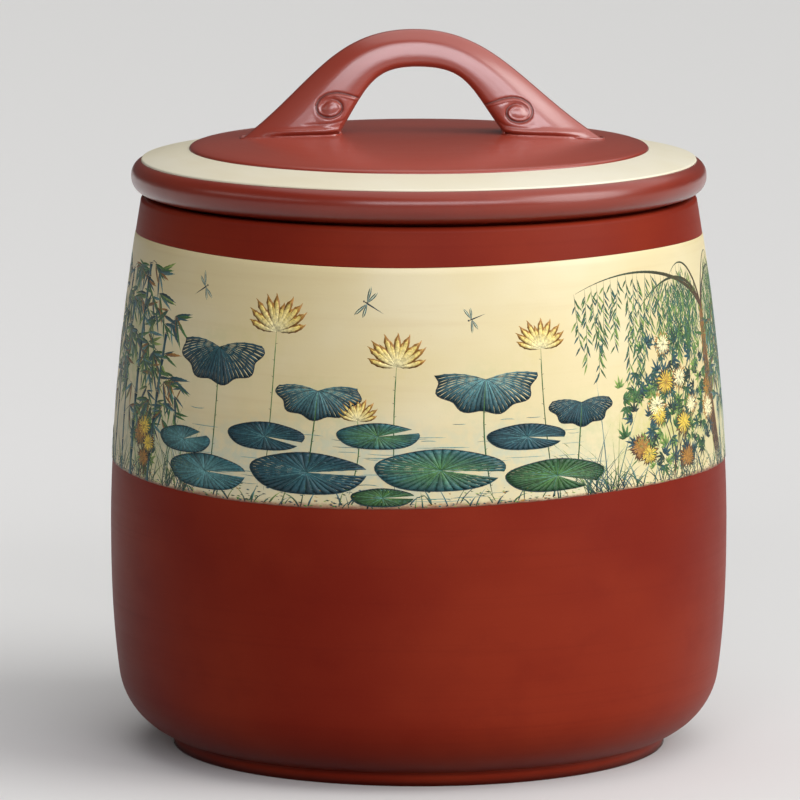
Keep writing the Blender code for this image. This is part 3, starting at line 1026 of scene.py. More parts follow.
def fan(work, dice, heart, rims, colours, bow=0.0):
    """Fills the space between a point and a row of rim points with strokes side by side."""
    for one, two in zip(rims, rims[1:]):
        edge = (two[0] - one[0], two[1] - one[1])
        tip = halfway(one, two)
        middle = halfway(heart, tip, bow)
        side = copysign(FAN_OVERLAP, (tip[0] - heart[0]) * edge[1] - (tip[1] - heart[1]) * edge[0])
        start, end = (toned(colour, dice, FAN_TONES) for colour in colours)
        rim = (edge[0] * side, edge[1] * side)
        work.stroke([heart, middle, tip], 1, "wedge", start, end, 5, FAN_COAT, rim)


def pad(work, dice, centre, size, colours, notch):
    """A floating leaf: strokes from the middle out, veins, and a thin dark rim."""
    work.layer = PAD_LAYER
    angles = np.linspace(notch + NOTCH_HALF, notch + 2 * pi - NOTCH_HALF, PAD_STROKES)
    rims = [oval(centre, size, a, 1 + PAD_WAVE * sin(5 * a)) for a in angles]
    fan(work, dice, centre, rims, colours)
    for point in rims[2:-2:4]:
        end = part_way(centre, point, 0.88)
        work.stroke([centre, end], VEIN_LINE, "line", AQUA, colours[0], 5, VEIN_COAT)
    work.stroke(rims, RIM_LINE, "line", INK, DEEP_TEAL, 40, VEIN_COAT)
    work.layer = 0.0


print("strokes in a pad:", PAD_STROKES - 1)

# %% Draw stems, tall leaves and the flowers over them
LEAF_WAVE = 0.07
LEAF_STROKES = 34
LEAF_ANGLES = (radians(172), radians(368))
STEM_PRICKS = 9
PETAL_ROWS = [(9, 12, 168, 1.0, 0.34), (6, 34, 146, 0.78, 0.42)]
PETAL_CURL = radians(16)


def stem(work, dice, foot, top, width=0.8):
    """A bent stem with short pricks on both sides."""
    middle = ((foot[0] + top[0]) / 2 + dice.uniform(-4, 4), (foot[1] + top[1]) / 2)
    work.stroke([foot, middle, top], width, "line", toned(PINE, dice), toned(LEAF, dice), 8, STEM_COAT)
    for t in np.linspace(0.08, 0.92, STEM_PRICKS):
        spot = along([foot, middle, top], np.array([t]))[0]
        side = dice.choice((-1, 1))
        prick = [(spot[0], spot[1]), (spot[0] + side * 0.9, spot[1] + 0.4)]
        work.stroke(prick, VEIN_LINE, "line", INK, slices=2)


def tall_leaf(work, dice, top, size, colours):
    """A leaf held over the water, seen from the side, its waved rim hanging down."""
    angles = np.linspace(*LEAF_ANGLES, LEAF_STROKES)
    rims = [oval(top, size, a, 1 + LEAF_WAVE * sin(9 * a + top[0])) for a in angles]
    fan(work, dice, top, rims, colours, size[1] * 0.24)
    for point in rims[2:-1:4]:
        end = part_way(top, point, 0.9)
        middle = halfway(top, end, size[1] * 0.26)
        work.stroke([top, middle, end], 0.32, "line", INK, colours[1], 5, TOP_COAT)
    work.stroke(rims, RIM_LINE, "line", INK, INK, 40, VEIN_COAT)


def water_flower(work, dice, heart, size):
    """Petals in two rows, each drawn in brown and then again, smaller, in a pale colour."""
    for count, low, high, share, plump in PETAL_ROWS:
        for i in range(count):
            heading = radians(low + (high - low) * i / (count - 1) + dice.uniform(-3, 3))
            length = size * share * (0.84 + 0.16 * sin(heading))
            curl = PETAL_CURL * cos(heading)
            u, v = oval(heart, (0.55, 0.5), heading, length)
            middle = (u, v - 0.6)
            tip = (heart[0] + length * cos(heading - curl), heart[1] + length * sin(heading + curl * 0.4))
            width = length * plump
            work.stroke([heart, middle, tip], width, "petal", BROWN, OCHRE, 5, PETAL_COAT)
            inner = part_way(heart, tip, 0.93)
            work.stroke([heart, middle, inner], width * 0.72, "petal", PALE, YELLOW, 5, LINE_COAT)


print("petals of a water flower:", sum(row[0] for row in PETAL_ROWS))

# %% Plant the pond
dice = random.Random(23)
pond_work = Brushwork()
PADS = [
    (-103, 20, 15, 5.0), (-62, 25, 17, 5.4), (-16, 27, 16, 5.0), (42, 26, 16, 5.0), (-90, 9, 20, 6.4),
    (-44, 12, 24, 7.6), (8, 14, 25, 8.0), (54, 10, 21, 6.6), (-14, 4, 12, 3.2), (214, 22, 17, 5.4),
    (228, 9, 21, 6.4), (308, 20, 15, 5.0), (322, 8, 19, 5.8), (386, 22, 18, 5.6), (406, 9, 23, 7.0),
    (434, 20, 14, 4.6), (540, 19, 15, 5.0), (556, 8, 19, 6.0),
]
for u, v, wide, high in PADS:
    tones = dice.choice([(TEAL, DEEP_TEAL), (LEAF, PINE), (AQUA, TEAL), (LEAF, TEAL)])
    pad(pond_work, dice, (u, v), (wide, high), tones, dice.uniform(-0.9, 0.9))
TALL_LEAVES = [
    (-86, 58, 21, 14), (-40, 44, 17, 11), (26, 49, 20, 13), (66, 38, 14, 9), (218, 50, 18, 12),
    (318, 50, 19, 12), (402, 47, 20, 13), (548, 52, 19, 12),
]
for u, v, wide, high in TALL_LEAVES:
    stem(pond_work, dice, (u + dice.uniform(-6, 6), 4), (u, v), 1.0)
    tones = dice.choice([(AQUA, DEEP_TEAL), (TEAL, DEEP_TEAL), (LEAF, PINE)])
    tall_leaf(pond_work, dice, (u, v), (wide, high), tones)
FLOWERS = [
    (-59, 66, 15), (-9, 54, 13.5), (49, 60, 12), (-24, 33, 9), (242, 62, 13), (298, 38, 10),
    (384, 66, 14), (430, 40, 10), (528, 64, 12),
]
for u, v, size in FLOWERS:
    stem(pond_work, dice, (u + dice.uniform(-5, 5), 5), (u, v))
    water_flower(pond_work, dice, (u, v), size)
pond_work.piece("band_pond", PAINT_FINISH)

# %% [markdown]
# ## Flowering bushes, willows and grass
#
# The flowers of the bushes are built like the petals on the water, but in three full rings,
# and their leaves have five lobes. Behind two of the bushes stands a willow, whose boughs spread
# from the top of the trunk and carry hanging twigs. Grass and moss hold the lower edge together.

# %% Draw a round flower and a lobed leaf
FLOWER_RINGS = [(22, 1.0), (16, 0.72), (10, 0.44)]
LOBES = [(-62, 0.6), (-30, 0.82), (0, 1.0), (30, 0.82), (62, 0.6)]
HEART_LAYER = 0.00003
HEART_DOTS = 8


def round_flower(work, dice, heart, size, colours):
    """Rings of petals, dark ones and smaller light ones on them, and dots in the heart."""
    dark, light = colours
    for count, share in FLOWER_RINGS:
        for i in range(count):
            heading = 2 * pi * i / count + dice.uniform(-0.12, 0.12)
            length = size * share * dice.uniform(0.86, 1.08)
            tip = oval(heart, (1, 0.86), heading, length)
            work.stroke([heart, tip], size * 0.30, "petal", dark)
            inner = part_way(heart, tip, 0.9)
            lit = toned(light, dice, 0.15)
            work.stroke([heart, inner], size * 0.18, "petal", lit, light, 3, GLINT_COAT)
    work.layer = HEART_LAYER
    for _ in range(HEART_DOTS):
        spot = (heart[0] + dice.uniform(-0.9, 0.9), heart[1] + dice.uniform(-0.8, 0.8))
        work.stroke([spot, (spot[0] + 0.5, spot[1])], 0.6, "petal", OCHRE, BROWN, 2)
    work.layer = 0.0


def lobed_leaf(work, dice, base, heading, size, colours):
    for turn_by, share in LOBES:
        leaf(work, dice, base, heading + turn_by, size * share, size * 0.30, colours, slices=3)
    vein = [base, off(base, size * 0.8, heading)]
    work.stroke(vein, 0.25, "line", INK, slices=2, coat=LINE_COAT)


print("petals of a round flower:", sum(count for count, share in FLOWER_RINGS))

# %% Plant the bushes
BUSHES = [(118, 33, 36, 28, 13), (-131, 17, 12, 13, 4), (284, 24, 20, 18, 5), (484, 33, 38, 28, 13)]
FLOWER_SIZE = 7.2
BUSH_STEMS = 9
LEAF_CROWD = 0.20


def bush(work, dice, centre, reach, flowers):
    """Stems from the ground, a crowd of leaves over them, and flowers on top of the leaves."""
    u, v = centre
    for _ in range(BUSH_STEMS):
        top = (u + dice.uniform(-0.8, 0.8) * reach[0], v + dice.uniform(-0.3, 0.7) * reach[1])
        work.stroke([(u + dice.uniform(-5, 5), 1), (u, v * 0.6), top], 0.9, "line", BROWN, PINE, 8)
    for _ in range(int(reach[0] * reach[1] * LEAF_CROWD)):
        turn_by = dice.uniform(0, 2 * pi)
        out = dice.uniform(0, 1) ** 0.5
        place = oval(centre, reach, turn_by, out)
        base = (place[0], max(place[1], 3))
        tones = dice.choice([(PINE, LEAF), (DEEP_TEAL, TEAL), (PINE, TEAL), (LEAF, LIME), (INK, PINE)])
        lobed_leaf(work, dice, base, dice.uniform(0, 360), dice.uniform(4.2, 7.4), tones)
    for i in range(flowers):
        turn_by = 2 * pi * i / flowers + dice.uniform(-0.4, 0.4)
        out = dice.choice((0.35, 0.85))
        place = oval(centre, reach, turn_by, out)
        heart = (place[0], max(place[1], 9))
        tones = dice.choice([(BROWN, YELLOW), (OCHRE, PALE), (BROWN, OCHRE)])
        round_flower(work, dice, heart, FLOWER_SIZE * dice.uniform(0.8, 1.15), tones)


dice = random.Random(41)
garden_work = Brushwork()
for u, v, wide, high, flowers in BUSHES:
    bush(garden_work, dice, (u, v), (wide, high), flowers)
garden_work.piece("band_garden", PAINT_FINISH)

# %% Draw a willow
TRUNK_PULLS = 7
PULL_WIDTH = 1.8
BOUGH_WIDTH = 2.0
STRANDS_FROM = 0.24
STRAND_EVERY = 4.6
STRAND_LINE = 0.35
STRAND_LEAF_EVERY = 1.4
STRAND_LEAF_WIDTH = 1.2


def trunk(work, dice, foot, crown):
    """Pulls of a dry brush side by side, dark on the shaded side."""
    for i in range(TRUNK_PULLS):
        shift = i - (TRUNK_PULLS - 1) / 2
        low = (foot[0] + 1.35 * shift, foot[1])
        middle = (crown[0] + shift - 4, crown[1] * 0.5)
        high = (crown[0] + 0.6 * shift, crown[1] + 3)
        tones = (INK, BROWN) if i % 2 else (BROWN, OCHRE)
        start, end = (toned(colour, dice) for colour in tones)
        work.stroke([low, middle, high], PULL_WIDTH, "line", start, end, 16)


def strand(work, dice, root, length):
    """A hanging twig with its narrow leaves on both sides."""
    u, v = root
    sway = dice.uniform(-5, 3)
    line = [(u, v), (u + sway * 0.3, v - length * 0.5), (u + sway, v - length)]
    work.stroke(line, STRAND_LINE, "line", PINE, LEAF, 8)
    for s in np.linspace(0.08, 1, int(length / STRAND_LEAF_EVERY)):
        base = along(line, np.array([s]))[0]
        heading = -90 + dice.choice((-1, 1)) * dice.uniform(16, 44)
        tones = dice.choice([(LEAF, LIME), (PINE, LEAF), (TEAL, LEAF), (PINE, TEAL)])
        leaf(work, dice, base, heading, dice.uniform(3.4, 6.2), STRAND_LEAF_WIDTH, tones, slices=3)


def willow_bough(work, dice, crown, tip):
    """A bough that rises from the crown and bends down to its tip, hung with strands."""
    reach = tip[0] - crown[0]
    bough = [crown, (crown[0] + 0.1 * reach, crown[1] + 14), (crown[0] + 0.6 * reach, BAND_ROOM + 2), tip]
    width = BOUGH_WIDTH + 0.015 * abs(reach)
    work.stroke(bough, width, "twig", BROWN, PINE, 40, LINE_COAT)
    for t in np.linspace(STRANDS_FROM, 1, 4 + int(abs(reach) / STRAND_EVERY)):
        root = along(bough, np.array([t]))[0]
        strand(work, dice, (root[0] + dice.uniform(-1, 1), root[1]), dice.uniform(14, 26 + 16 * t))


print("a bough has a strand every", STRAND_EVERY, "mm")

# %% Plant the willows
WILLOWS = [
    ((160, 0.5), (151, 66), [(66, 80), (92, 64), (122, 82), (178, 84), (196, 62)]),
    ((516, 0.5), (507, 66), [(420, 80), (452, 66), (482, 84), (536, 83), (562, 66)]),
]
dice = random.Random(43)
willow_work = Brushwork()
for foot, crown, tips in WILLOWS:
    trunk(willow_work, dice, foot, crown)
    for tip in tips:
        willow_bough(willow_work, dice, crown, tip)
willow_work.piece("band_willow", PAINT_FINISH)

# %% Draw grass, moss and water lines
TUFT_FOOT = 0.6


def tuft(work, dice, foot, count, height):
    """Blades of grass that fan out from a foot and bend outwards."""
    for _ in range(count):
        heading = 90 + dice.uniform(-38, 38)
        length = height * dice.uniform(0.45, 1.1)
        base = (foot[0] + dice.uniform(-3.5, 3.5), max(foot[1] + dice.uniform(-1, 1), 0.2))
        blade = bent(base, length, heading, (heading - 90) * dice.uniform(0.6, 1.8))
        start = toned(dice.choice((INK, PINE, DEEP_TEAL)), dice)
        end = toned(dice.choice((LEAF, LIME, TEAL, AQUA)), dice)
        work.stroke(blade, dice.uniform(0.6, 1.3), "blade", start, end, 5)


def moss(work, dice, low, high, count, top):
    """Short flat dabs that thin out upwards."""
    for _ in range(count):
        spot = (dice.uniform(low, high), TUFT_FOOT + top * dice.uniform(0, 1) ** 1.8)
        length = dice.uniform(0.7, 2.6)
        colour = dice.choice((INK, DEEP_TEAL, TEAL, PINE, LEAF, LIME, OCHRE))
        end = (spot[0] + length, spot[1] + dice.uniform(-0.3, 0.3))
        width = dice.uniform(0.3, 0.9)
        work.stroke([spot, end], width, "petal", toned(colour, dice), toned(colour, dice), 2)


def ripples(work, dice, low, high, count, top):
    """Thin level lines on the water."""
    for _ in range(count):
        u = dice.uniform(low, high)
        v = dice.uniform(2, top)
        length = dice.uniform(5, 17)
        bow = dice.uniform(-0.8, 0.8)
        colour = toned(dice.choice((AQUA, TEAL, AQUA)), dice)
        line = [(u, v), (u + length / 2, v + bow), (u + length, v)]
        work.stroke(line, dice.uniform(0.22, 0.4), "line", colour, AQUA, 5)


print("grass starts", TUFT_FOOT, "mm above the edge of the band")

# %% Draw a dragonfly
WINGS = [(72, 1.0), (104, 0.86), (-72, 1.0), (-104, 0.86)]


def dragonfly(work, place, heading, size):
    """A tail, two pairs of wings, and a head at the place."""
    tail = off(place, -size, heading)
    work.stroke([place, tail], size * 0.11, "blade", INK, DEEP_TEAL, 5, LINE_COAT)
    root = off(place, -size * 0.12, heading)
    for turn_by, share in WINGS:
        tip = off(root, size * share * 0.78, heading + turn_by)
        work.stroke([root, tip], size * 0.20, "petal", DEEP_TEAL, TEAL, 5, PETAL_COAT)
        work.stroke([root, tip], size * 0.12, "petal", AQUA, PALE, 5, LINE_COAT)
    work.stroke([place, off(place, 0.9, heading)], 1.2, "petal", INK, INK, 2, LINE_COAT)


print("a dragonfly has", len(WINGS), "wings")

# %% Grow the grass, and lay the water lines and the dragonflies over it
TUFT_PLACES = range(-186, 568, 9)
DRY_TUFT = (9, 17)
WET_TUFT = (3, 9)
WET = [(-104, 66), (204, 250), (296, 336), (370, 440), (536, 568)]
HIGH_TUFTS = [
    (-112, 40), (-104, 28), (70, 34), (80, 46), (205, 38), (340, 40), (450, 36), (532, 42),
]
HIGH_BLADES = 13
MOSS_REACH = (-188, 566)
MOSS_DABS = 1300
MOSS_TOP = 6
RIPPLES = [(-108, 70, 70, 34), (200, 340, 40, 30), (366, 450, 34, 30)]
DRAGONFLIES = [
    (-22, 79, 150, 9), (-96, 81, 30, 8), (20, 72, 200, 7), (300, 76, 160, 9), (452, 76, 35, 8),
]
dice = random.Random(59)
ground_work = Brushwork()
for u in TUFT_PLACES:
    wet = any(low < u < high for low, high in WET)
    tuft(ground_work, dice, (u + dice.uniform(-3, 3), TUFT_FOOT), *(WET_TUFT if wet else DRY_TUFT))
for u, height in HIGH_TUFTS:
    tuft(ground_work, dice, (u, TUFT_FOOT), HIGH_BLADES, height)
moss(ground_work, dice, *MOSS_REACH, MOSS_DABS, MOSS_TOP)
for stretch in RIPPLES:
    ripples(ground_work, dice, *stretch)
for u, v, heading, size in DRAGONFLIES:
    dragonfly(ground_work, (u, v), heading, size)
ground_work.piece("band_ground", PAINT_FINISH)

# %% [markdown]
# ## Washes
#
# Under the strokes lie soft washes: pale green and yellow behind the plants, a breath of blue
# for the water. Each is a soft spot in the attribute that the finish of the band reads.

# %% Lay the washes into the band
WASH_GREEN = (0.42, 0.50, 0.20)
WASH_WATER = (0.40, 0.56, 0.50)
WASH_WARM = (0.78, 0.60, 0.16)
WASH_TEAL = (0.16, 0.30, 0.28)


def lay_washes(piece, spots):
    """Mixes soft spots, each with its place, reach, colour and strength, into the wash."""
    points = read_points(piece)
    round_by = np.arctan2(points[:, 0], -points[:, 1]) * DRAWN_RADIUS / MILLIMETRE
    up = (points[:, 2] - BAND_BOTTOM) / MILLIMETRE
    full_turn = 2 * pi * DRAWN_RADIUS / MILLIMETRE
    bare = np.ones(len(points))
    total = np.zeros(len(points))
    mixed = np.zeros((len(points), 3))
    for u, v, wide, high, colour, strength in spots:
        aside = (round_by - u + full_turn / 2) % full_turn - full_turn / 2
        share = strength * np.exp(-(aside / wide) ** 2 - ((up - v) / high) ** 2)
        mixed += share[:, None] * np.array(colour)
        total += share
        bare *= 1 - share
    depth = 1 - bare
    rgba = np.column_stack([mixed / np.maximum(total, 1e-6)[:, None], depth])
    wash = piece.data.color_attributes.new("wash", "FLOAT_COLOR", "POINT")
    wash.data.foreach_set("color", rgba.ravel().astype(np.float32))
    print(f"washes cover {100 * float((depth > 0.1).mean()):.0f}% of the band")


spots = []
for place, size in GROVES:
    spots.append((place, 50 * size, 30 * size, 26 * size, WASH_GREEN, 0.55))
    spots.append((place + 6, 18, 30 * size, 14, WASH_TEAL, 0.45))
for u, v, wide, high in PADS:
    spots.append((u, v, wide * 1.3, high * 1.6, WASH_WATER, 0.45))
for u, v, wide, high in TALL_LEAVES:
    spots.append((u, v - 4, wide, high, WASH_GREEN, 0.35))
for u, v, size in FLOWERS:
    spots.append((u, v + 4, size, size, WASH_WARM, 0.30))
for u, v, wide, high, flowers in BUSHES:
    spots.append((u, v, wide, high, WASH_WARM, 0.5))
    spots.append((u, v - 12, wide * 1.2, 12, WASH_GREEN, 0.6))
lay_washes(slip_band, spots)

# %% [markdown]
# ## Lid
#
# The lid is one turned plate. From the middle outwards it has a shallow dome, a small step
# down, a trench for the slip ring and a fat rolled rim. The roll is a squared circle, fuller
# than a round one, and its underside stands a millimetre clear of the neck, so that a dark line
# of shadow parts lid and jar. Inside it a flat seat rests on the mouth, and a vault saves weight.

# %% Work out the heights of the lid
RIM_TOP = SEAT_HEIGHT + RIM_HEIGHT
DOME_RADIUS = RING_OUTER - RING_WIDTH


def squircle(t, squareness):
    """Point of a unit superellipse at the angle t, in radians."""
    x = copysign(abs(cos(t)) ** (2 / squareness), cos(t))
    y = copysign(abs(sin(t)) ** (2 / squareness), sin(t))
    return x, y


def rim_point(angle):
    """Point of the rolled rim at an angle in degrees, 0 outwards and 90 on top."""
    x, y = squircle(radians(angle), RIM_SQUARENESS)
    half_height = (RIM_HEIGHT - RIM_LIFT) / 2
    return RIM_RADIUS - RIM_HALF_WIDTH * (1 - x), RIM_TOP - half_height * (1 - y)


def dome_height(radius):
    fall = (DOME_RISE - DOME_FLATTENED) * (radius / DOME_RADIUS) ** DOME_POWER
    return DOME_TOP - DOME_FLATTENED - fall


def ring_height(radius):
    return RIM_TOP + RING_FALL * (RING_OUTER - radius) / RING_WIDTH


print(f"the rim is {RIM_TOP:.4f} m high, the edge of the dome {dome_height(DOME_RADIUS):.4f} m")

# %% Turn the lid plate
ROLL_END = -88
STEP_EASE = 0.0009
DOME_ROWS = 40
ROLL_ROWS = 30
HOLLOW_ROWS = 14
VAULT_ROWS = 20


def lid_outline():
    step_start = DOME_RADIUS - 2 * STEP_EASE
    dome = [(r, dome_height(r)) for r in spread(0.0, step_start, DOME_ROWS)]
    bed = ring_height(DOME_RADIUS) - SLIP - SEAM
    step = rounded([
        (step_start, dome_height(step_start), 0),
        (DOME_RADIUS, dome_height(DOME_RADIUS) - STEP_EASE / 3, STEP_EASE),
        (DOME_RADIUS, bed, 0),
    ])[1:]
    trench_end = RING_OUTER + SEAM
    trench = [(trench_end, ring_height(trench_end) - SLIP - SEAM)]
    roll = [rim_point(angle) for angle in spread(ROLL_START, ROLL_END, ROLL_ROWS)]
    seat_outer = RIM_RADIUS - RIM_HALF_WIDTH - RIM_LIFT
    seat_inner = seat_outer + RIM_LIFT - SEAT_WIDTH + RIM_RADIUS - MOUTH_RADIUS
    under = PLATE_THICKNESS
    start = Vector((seat_inner, SEAT_HEIGHT))
    end = Vector((seat_inner - 2 * under, dome_height(seat_inner - 2 * under) - under))
    bend = Vector((seat_inner - under / 4, end.y))
    hollow = [tuple(eased(start, bend, end, t)) for t in spread(0.0, 1.0, HOLLOW_ROWS)]
    vault = [(r, dome_height(r) - under) for r in spread(end.x, 0.0, VAULT_ROWS)][1:]
    return dome + step + trench + roll + [(seat_outer, SEAT_HEIGHT)] + hollow + vault


lid_dome = turn("lid_dome", lid_outline())
settle(lid_dome, "lid", "red_clay", LID_FINISH, "lid_plate")

# %% Turn the slip ring and the collar
RING_ROUND_IN = 0.00035
RING_ROUND_OUT = 0.0007
RING_TUCK = 0.0002
COLLAR_ROUND_OUT = 0.0018
COLLAR_ROUND_IN = 0.0012


def ring_outline():
    inner = DOME_RADIUS + SEAM
    outer = RING_OUTER
    roll_top = rim_point(ROLL_START)[1]
    return rounded([
        (inner, ring_height(inner) - SLIP, 0),
        (inner, ring_height(inner), RING_ROUND_IN),
        (outer, ring_height(outer), RING_ROUND_OUT),
        (outer, roll_top - RING_TUCK, 0),
        (outer, ring_height(outer) - SLIP, 0),
    ], steps=6)


def collar_outline():
    bore = COLLAR_RADIUS - COLLAR_THICKNESS
    return rounded([
        (COLLAR_RADIUS, SEAT_HEIGHT + SEAM, 0),
        (COLLAR_RADIUS, COLLAR_BOTTOM, COLLAR_ROUND_OUT),
        (bore, COLLAR_BOTTOM, COLLAR_ROUND_IN),
        (bore, SEAT_HEIGHT + SEAM, 0),
    ], steps=7)


lid_cream_ring = turn("lid_cream_ring", ring_outline(), closed=True)
settle(lid_cream_ring, "lid", "cream_slip", SLIP_FINISH, "lid_slip_ring")
lid_collar = turn("lid_collar", collar_outline(), closed=True)
settle(lid_collar, "lid", "red_clay", LID_FINISH, "lid_flange")

# %% [markdown]
# ## Bridge handle
#
# The handle is a bar of clay bent into a bridge. It leans a little because it was bent by hand,
# and its left shoulder is the rounder one inside. Its underside is rounded where the fingers
# lie, its faces lean in up to a soft ridge, and its back is blunt. Its feet are long and flared.
#
# A cylinder lies along X, is cut into slices by subdividing its long edges, and each slice is
# then pressed to the section that the bridge has there. The side view is a pair of Bezier
# curves, one for each edge of the bar, and the bar runs on a little below the lid. A size of the
# section that has two values goes from the one at the crown to the one at the foot.

# %% Draw the side view of the handle
HANDLE_SPAN = 0.1450
HANDLE_THICKNESS = 0.0150
HEEL_SPACING = 0.0660
CROWN_ROUND = 0.0330
INNER_ROUND = {-1: 0.0175, 1: 0.0205}
FLARE_LENGTH = 0.0295
FLARE_HEIGHT = {-1: 0.0212, 1: 0.0196}
HEEL_LEAN = 0.0125
HEEL_REACH = 0.0190
HANDLE_SHIFT = 0.0010
HANDLE_SKEW = 0.0030
OUTER_CROWDING = 1.5


def bezier(a, b, c, d, t):
    u = 1 - t
    return a * u ** 3 + b * 3 * u * u * t + c * 3 * u * t * t + d * t ** 3


def handle_edges(s, side):
    """Inner and outer point of the side view at s, from 0 at the crown to 1 on the lid.

    The left shoulder, side -1, is rounder inside and fuller outside than the right one."""
    tip = Vector((HANDLE_SPAN / 2, dome_height(HANDLE_SPAN / 2)))
    heel = Vector((HEEL_SPACING / 2, dome_height(HEEL_SPACING / 2)))
    top = CROWN_HEIGHT
    under = top - HANDLE_THICKNESS
    flare = tip + Vector((-FLARE_LENGTH, FLARE_HEIGHT[side]))
    reach = heel + Vector((-HEEL_LEAN, HEEL_REACH))
    outer = bezier(Vector((0, top)), Vector((CROWN_ROUND, top)), flare, tip, s ** OUTER_CROWDING)
    inner = bezier(Vector((0, under)), Vector((INNER_ROUND[side], under)), reach, heel, s)
    return inner, outer


def lean(x, z):
    """The bridge stands a little right of centre and leans left as it rises."""
    rise = (z - DOME_TOP) / (CROWN_HEIGHT - DOME_TOP)
    return x + HANDLE_SHIFT - HANDLE_SKEW * rise


print(f"the crown is {CROWN_HEIGHT - DOME_TOP:.4f} m above the dome")

# %% Work out the section of the handle
CROWN_WIDTH = 0.0170
FOOT_PIECE_WIDTH = 0.0245
RIDGE = (0.74, 0.66)
FACE_TAPER = (0.33, 0.26)
SHOULDER_TAPER = (0.72, 0.68)
RIDGE_SOFTNESS = (0.05, 0.16)
UNDER_SQUARENESS = 3.4
BACK_SQUARENESS = 3.6
FOOT_SQUARENESS = 3.8
RUN_ON = 1.045


def mix(at_crown, at_foot, foot):
    """A size on the way from the crown, where foot is 0, to the foot, where it is 1."""
    return at_crown * (1 - foot) + at_foot * foot


def narrowing(h, foot):
    """Share of the full width left at h, from 0 on the inner edge to 1 on the outer one.

    Up to the ridge the face leans back a little, and beyond it the shoulder falls away."""
    face = mix(*FACE_TAPER, foot)
    shoulder = mix(*SHOULDER_TAPER, foot)
    soft = mix(*RIDGE_SOFTNESS, foot)
    ridge = mix(*RIDGE, foot)
    below = 1 - face * h / ridge
    above = 1 - face - (shoulder - face) * (h - ridge) / (1 - ridge)
    return (below + above - hypot(below - above, soft)) / 2


def bridge_point(x, turn_angle):
    """Where a point of the straight bar goes: x from -1 to 1 along it, and an angle round it."""
    side = copysign(1.0, x)
    s = abs(x) * RUN_ON
    inner, outer = handle_edges(s, side)
    foot = min(s, 1.0) ** 2
    width = mix(CROWN_WIDTH / 2, FOOT_PIECE_WIDTH / 2, foot)
    crown_squareness = UNDER_SQUARENESS if cos(turn_angle) < 0 else BACK_SQUARENESS
    along_bar, across = squircle(turn_angle, mix(crown_squareness, FOOT_SQUARENESS, foot))
    point = (inner + outer) / 2 + (outer - inner) / 2 * along_bar
    y = width * narrowing((along_bar + 1) / 2, foot) * across
    return Vector((lean(side * point.x, point.y), y, point.y))


print("top of the crown:", tuple(bridge_point(0.0, 0.0)))

# %% Bend the bar of the handle
BAR_SIDES = 64
BAR_CUTS = 119

deselect()
bpy.ops.mesh.primitive_cylinder_add(vertices=BAR_SIDES, radius=1, depth=2, rotation=(0, pi / 2, 0))
bridge_handle = bpy.context.object
bridge_handle.name = "bridge_handle"
bridge_handle.data.name = "bridge_handle"
bpy.ops.object.transform_apply(location=False, rotation=True, scale=False)
cut_across(bridge_handle, 0, BAR_CUTS)
for vertex in bridge_handle.data.vertices:
    vertex.co = bridge_point(vertex.co.x, atan2(vertex.co.y, vertex.co.z))
bpy.ops.object.mode_set(mode="EDIT")
bpy.ops.mesh.select_all(action="SELECT")
bpy.ops.mesh.normals_make_consistent(inside=False)
bpy.ops.object.mode_set(mode="OBJECT")
print("bar bent:", len(bridge_handle.data.vertices), "points")

# %% [markdown]
# ## Bead of slip round the feet
#
# The feet were stuck on with slip, and the slip that was squeezed out and wiped along is left as
# a thin bead. It is a closed curve with a round bevel, laid on the dome round each foot. Then
# bar and beads are remeshed together in small cells, which melts the joints as wet clay does,
# and gives the fine even mesh that the carving needs.

# %% Lay the beads
BEAD_RADIUS = 0.00062
BEAD_OUT = 0.0019
TOE_BEAD_OUT = 0.0007
BEAD_POINTS = 72


def bead(side):
    """A thin round ring on the dome, round the foot on one side."""
    curve = bpy.data.curves.new("slip_bead", "CURVE")
    curve.dimensions = "3D"
    curve.bevel_depth = BEAD_RADIUS
    curve.bevel_resolution = 3
    spline = curve.splines.new("POLY")
    spline.points.add(BEAD_POINTS - 1)
    spline.use_cyclic_u = True
    inner, outer = handle_edges(1.0, side)
    for i, target in enumerate(spline.points):
        along_foot, across = squircle(2 * pi * i / BEAD_POINTS, FOOT_SQUARENESS)
        least = TOE_BEAD_OUT if along_foot > 0 else 0.0
        out = max(least, BEAD_OUT * abs(across))
        x = (inner.x + outer.x) / 2 + ((outer.x - inner.x) / 2 + out) * along_foot
        y = (FOOT_PIECE_WIDTH / 2 * narrowing((along_foot + 1) / 2, 1.0) + BEAD_OUT) * across
        z = dome_height(hypot(x, y))
        target.co = (lean(side * x, z), y, z, 1)
    thing = bpy.data.objects.new("slip_bead", curve)
    bpy.context.scene.collection.objects.link(thing)
    select_only(thing)
    bpy.ops.object.convert(target="MESH")
    return bpy.context.object


beads = [bead(side) for side in (-1, 1)]
print("beads:", [len(thing.data.polygons) for thing in beads], "faces")

# %% Melt the joints
CELL = 0.00039


def apply_modifier(piece, kind, **settings):
    select_only(piece)
    bpy.ops.object.modifier_add(type=kind)
    modifier = piece.modifiers[-1]
    for name, value in settings.items():
        setattr(modifier, name, value)
    bpy.ops.object.modifier_apply(modifier=modifier.name)


select_only(bridge_handle)
for thing in beads:
    thing.select_set(True)
bpy.ops.object.join()
apply_modifier(bridge_handle, "REMESH", mode="VOXEL", voxel_size=CELL, use_smooth_shade=True)
apply_modifier(bridge_handle, "SMOOTH", factor=0.5, iterations=4)
print("melted:", len(bridge_handle.data.polygons), "faces")

# %% [markdown]
# ## Scrolls
#
# On each face of each foot the clay was rolled in with a tool. One groove starts at the heel's
# edge, runs over the roll, turns in under it and ends beside the eye of the scroll. A crease
# parts the roll from the strip along the base, whose edge stands out as a lip over a small
# undercut. It is carved here as it was then: the points of the faces move in along the groove,
# and out beside it, where the clay swelled and the tool left a thin raised rim. Each line is a
# row of places in millimetres from the eye, towards the toe and up.

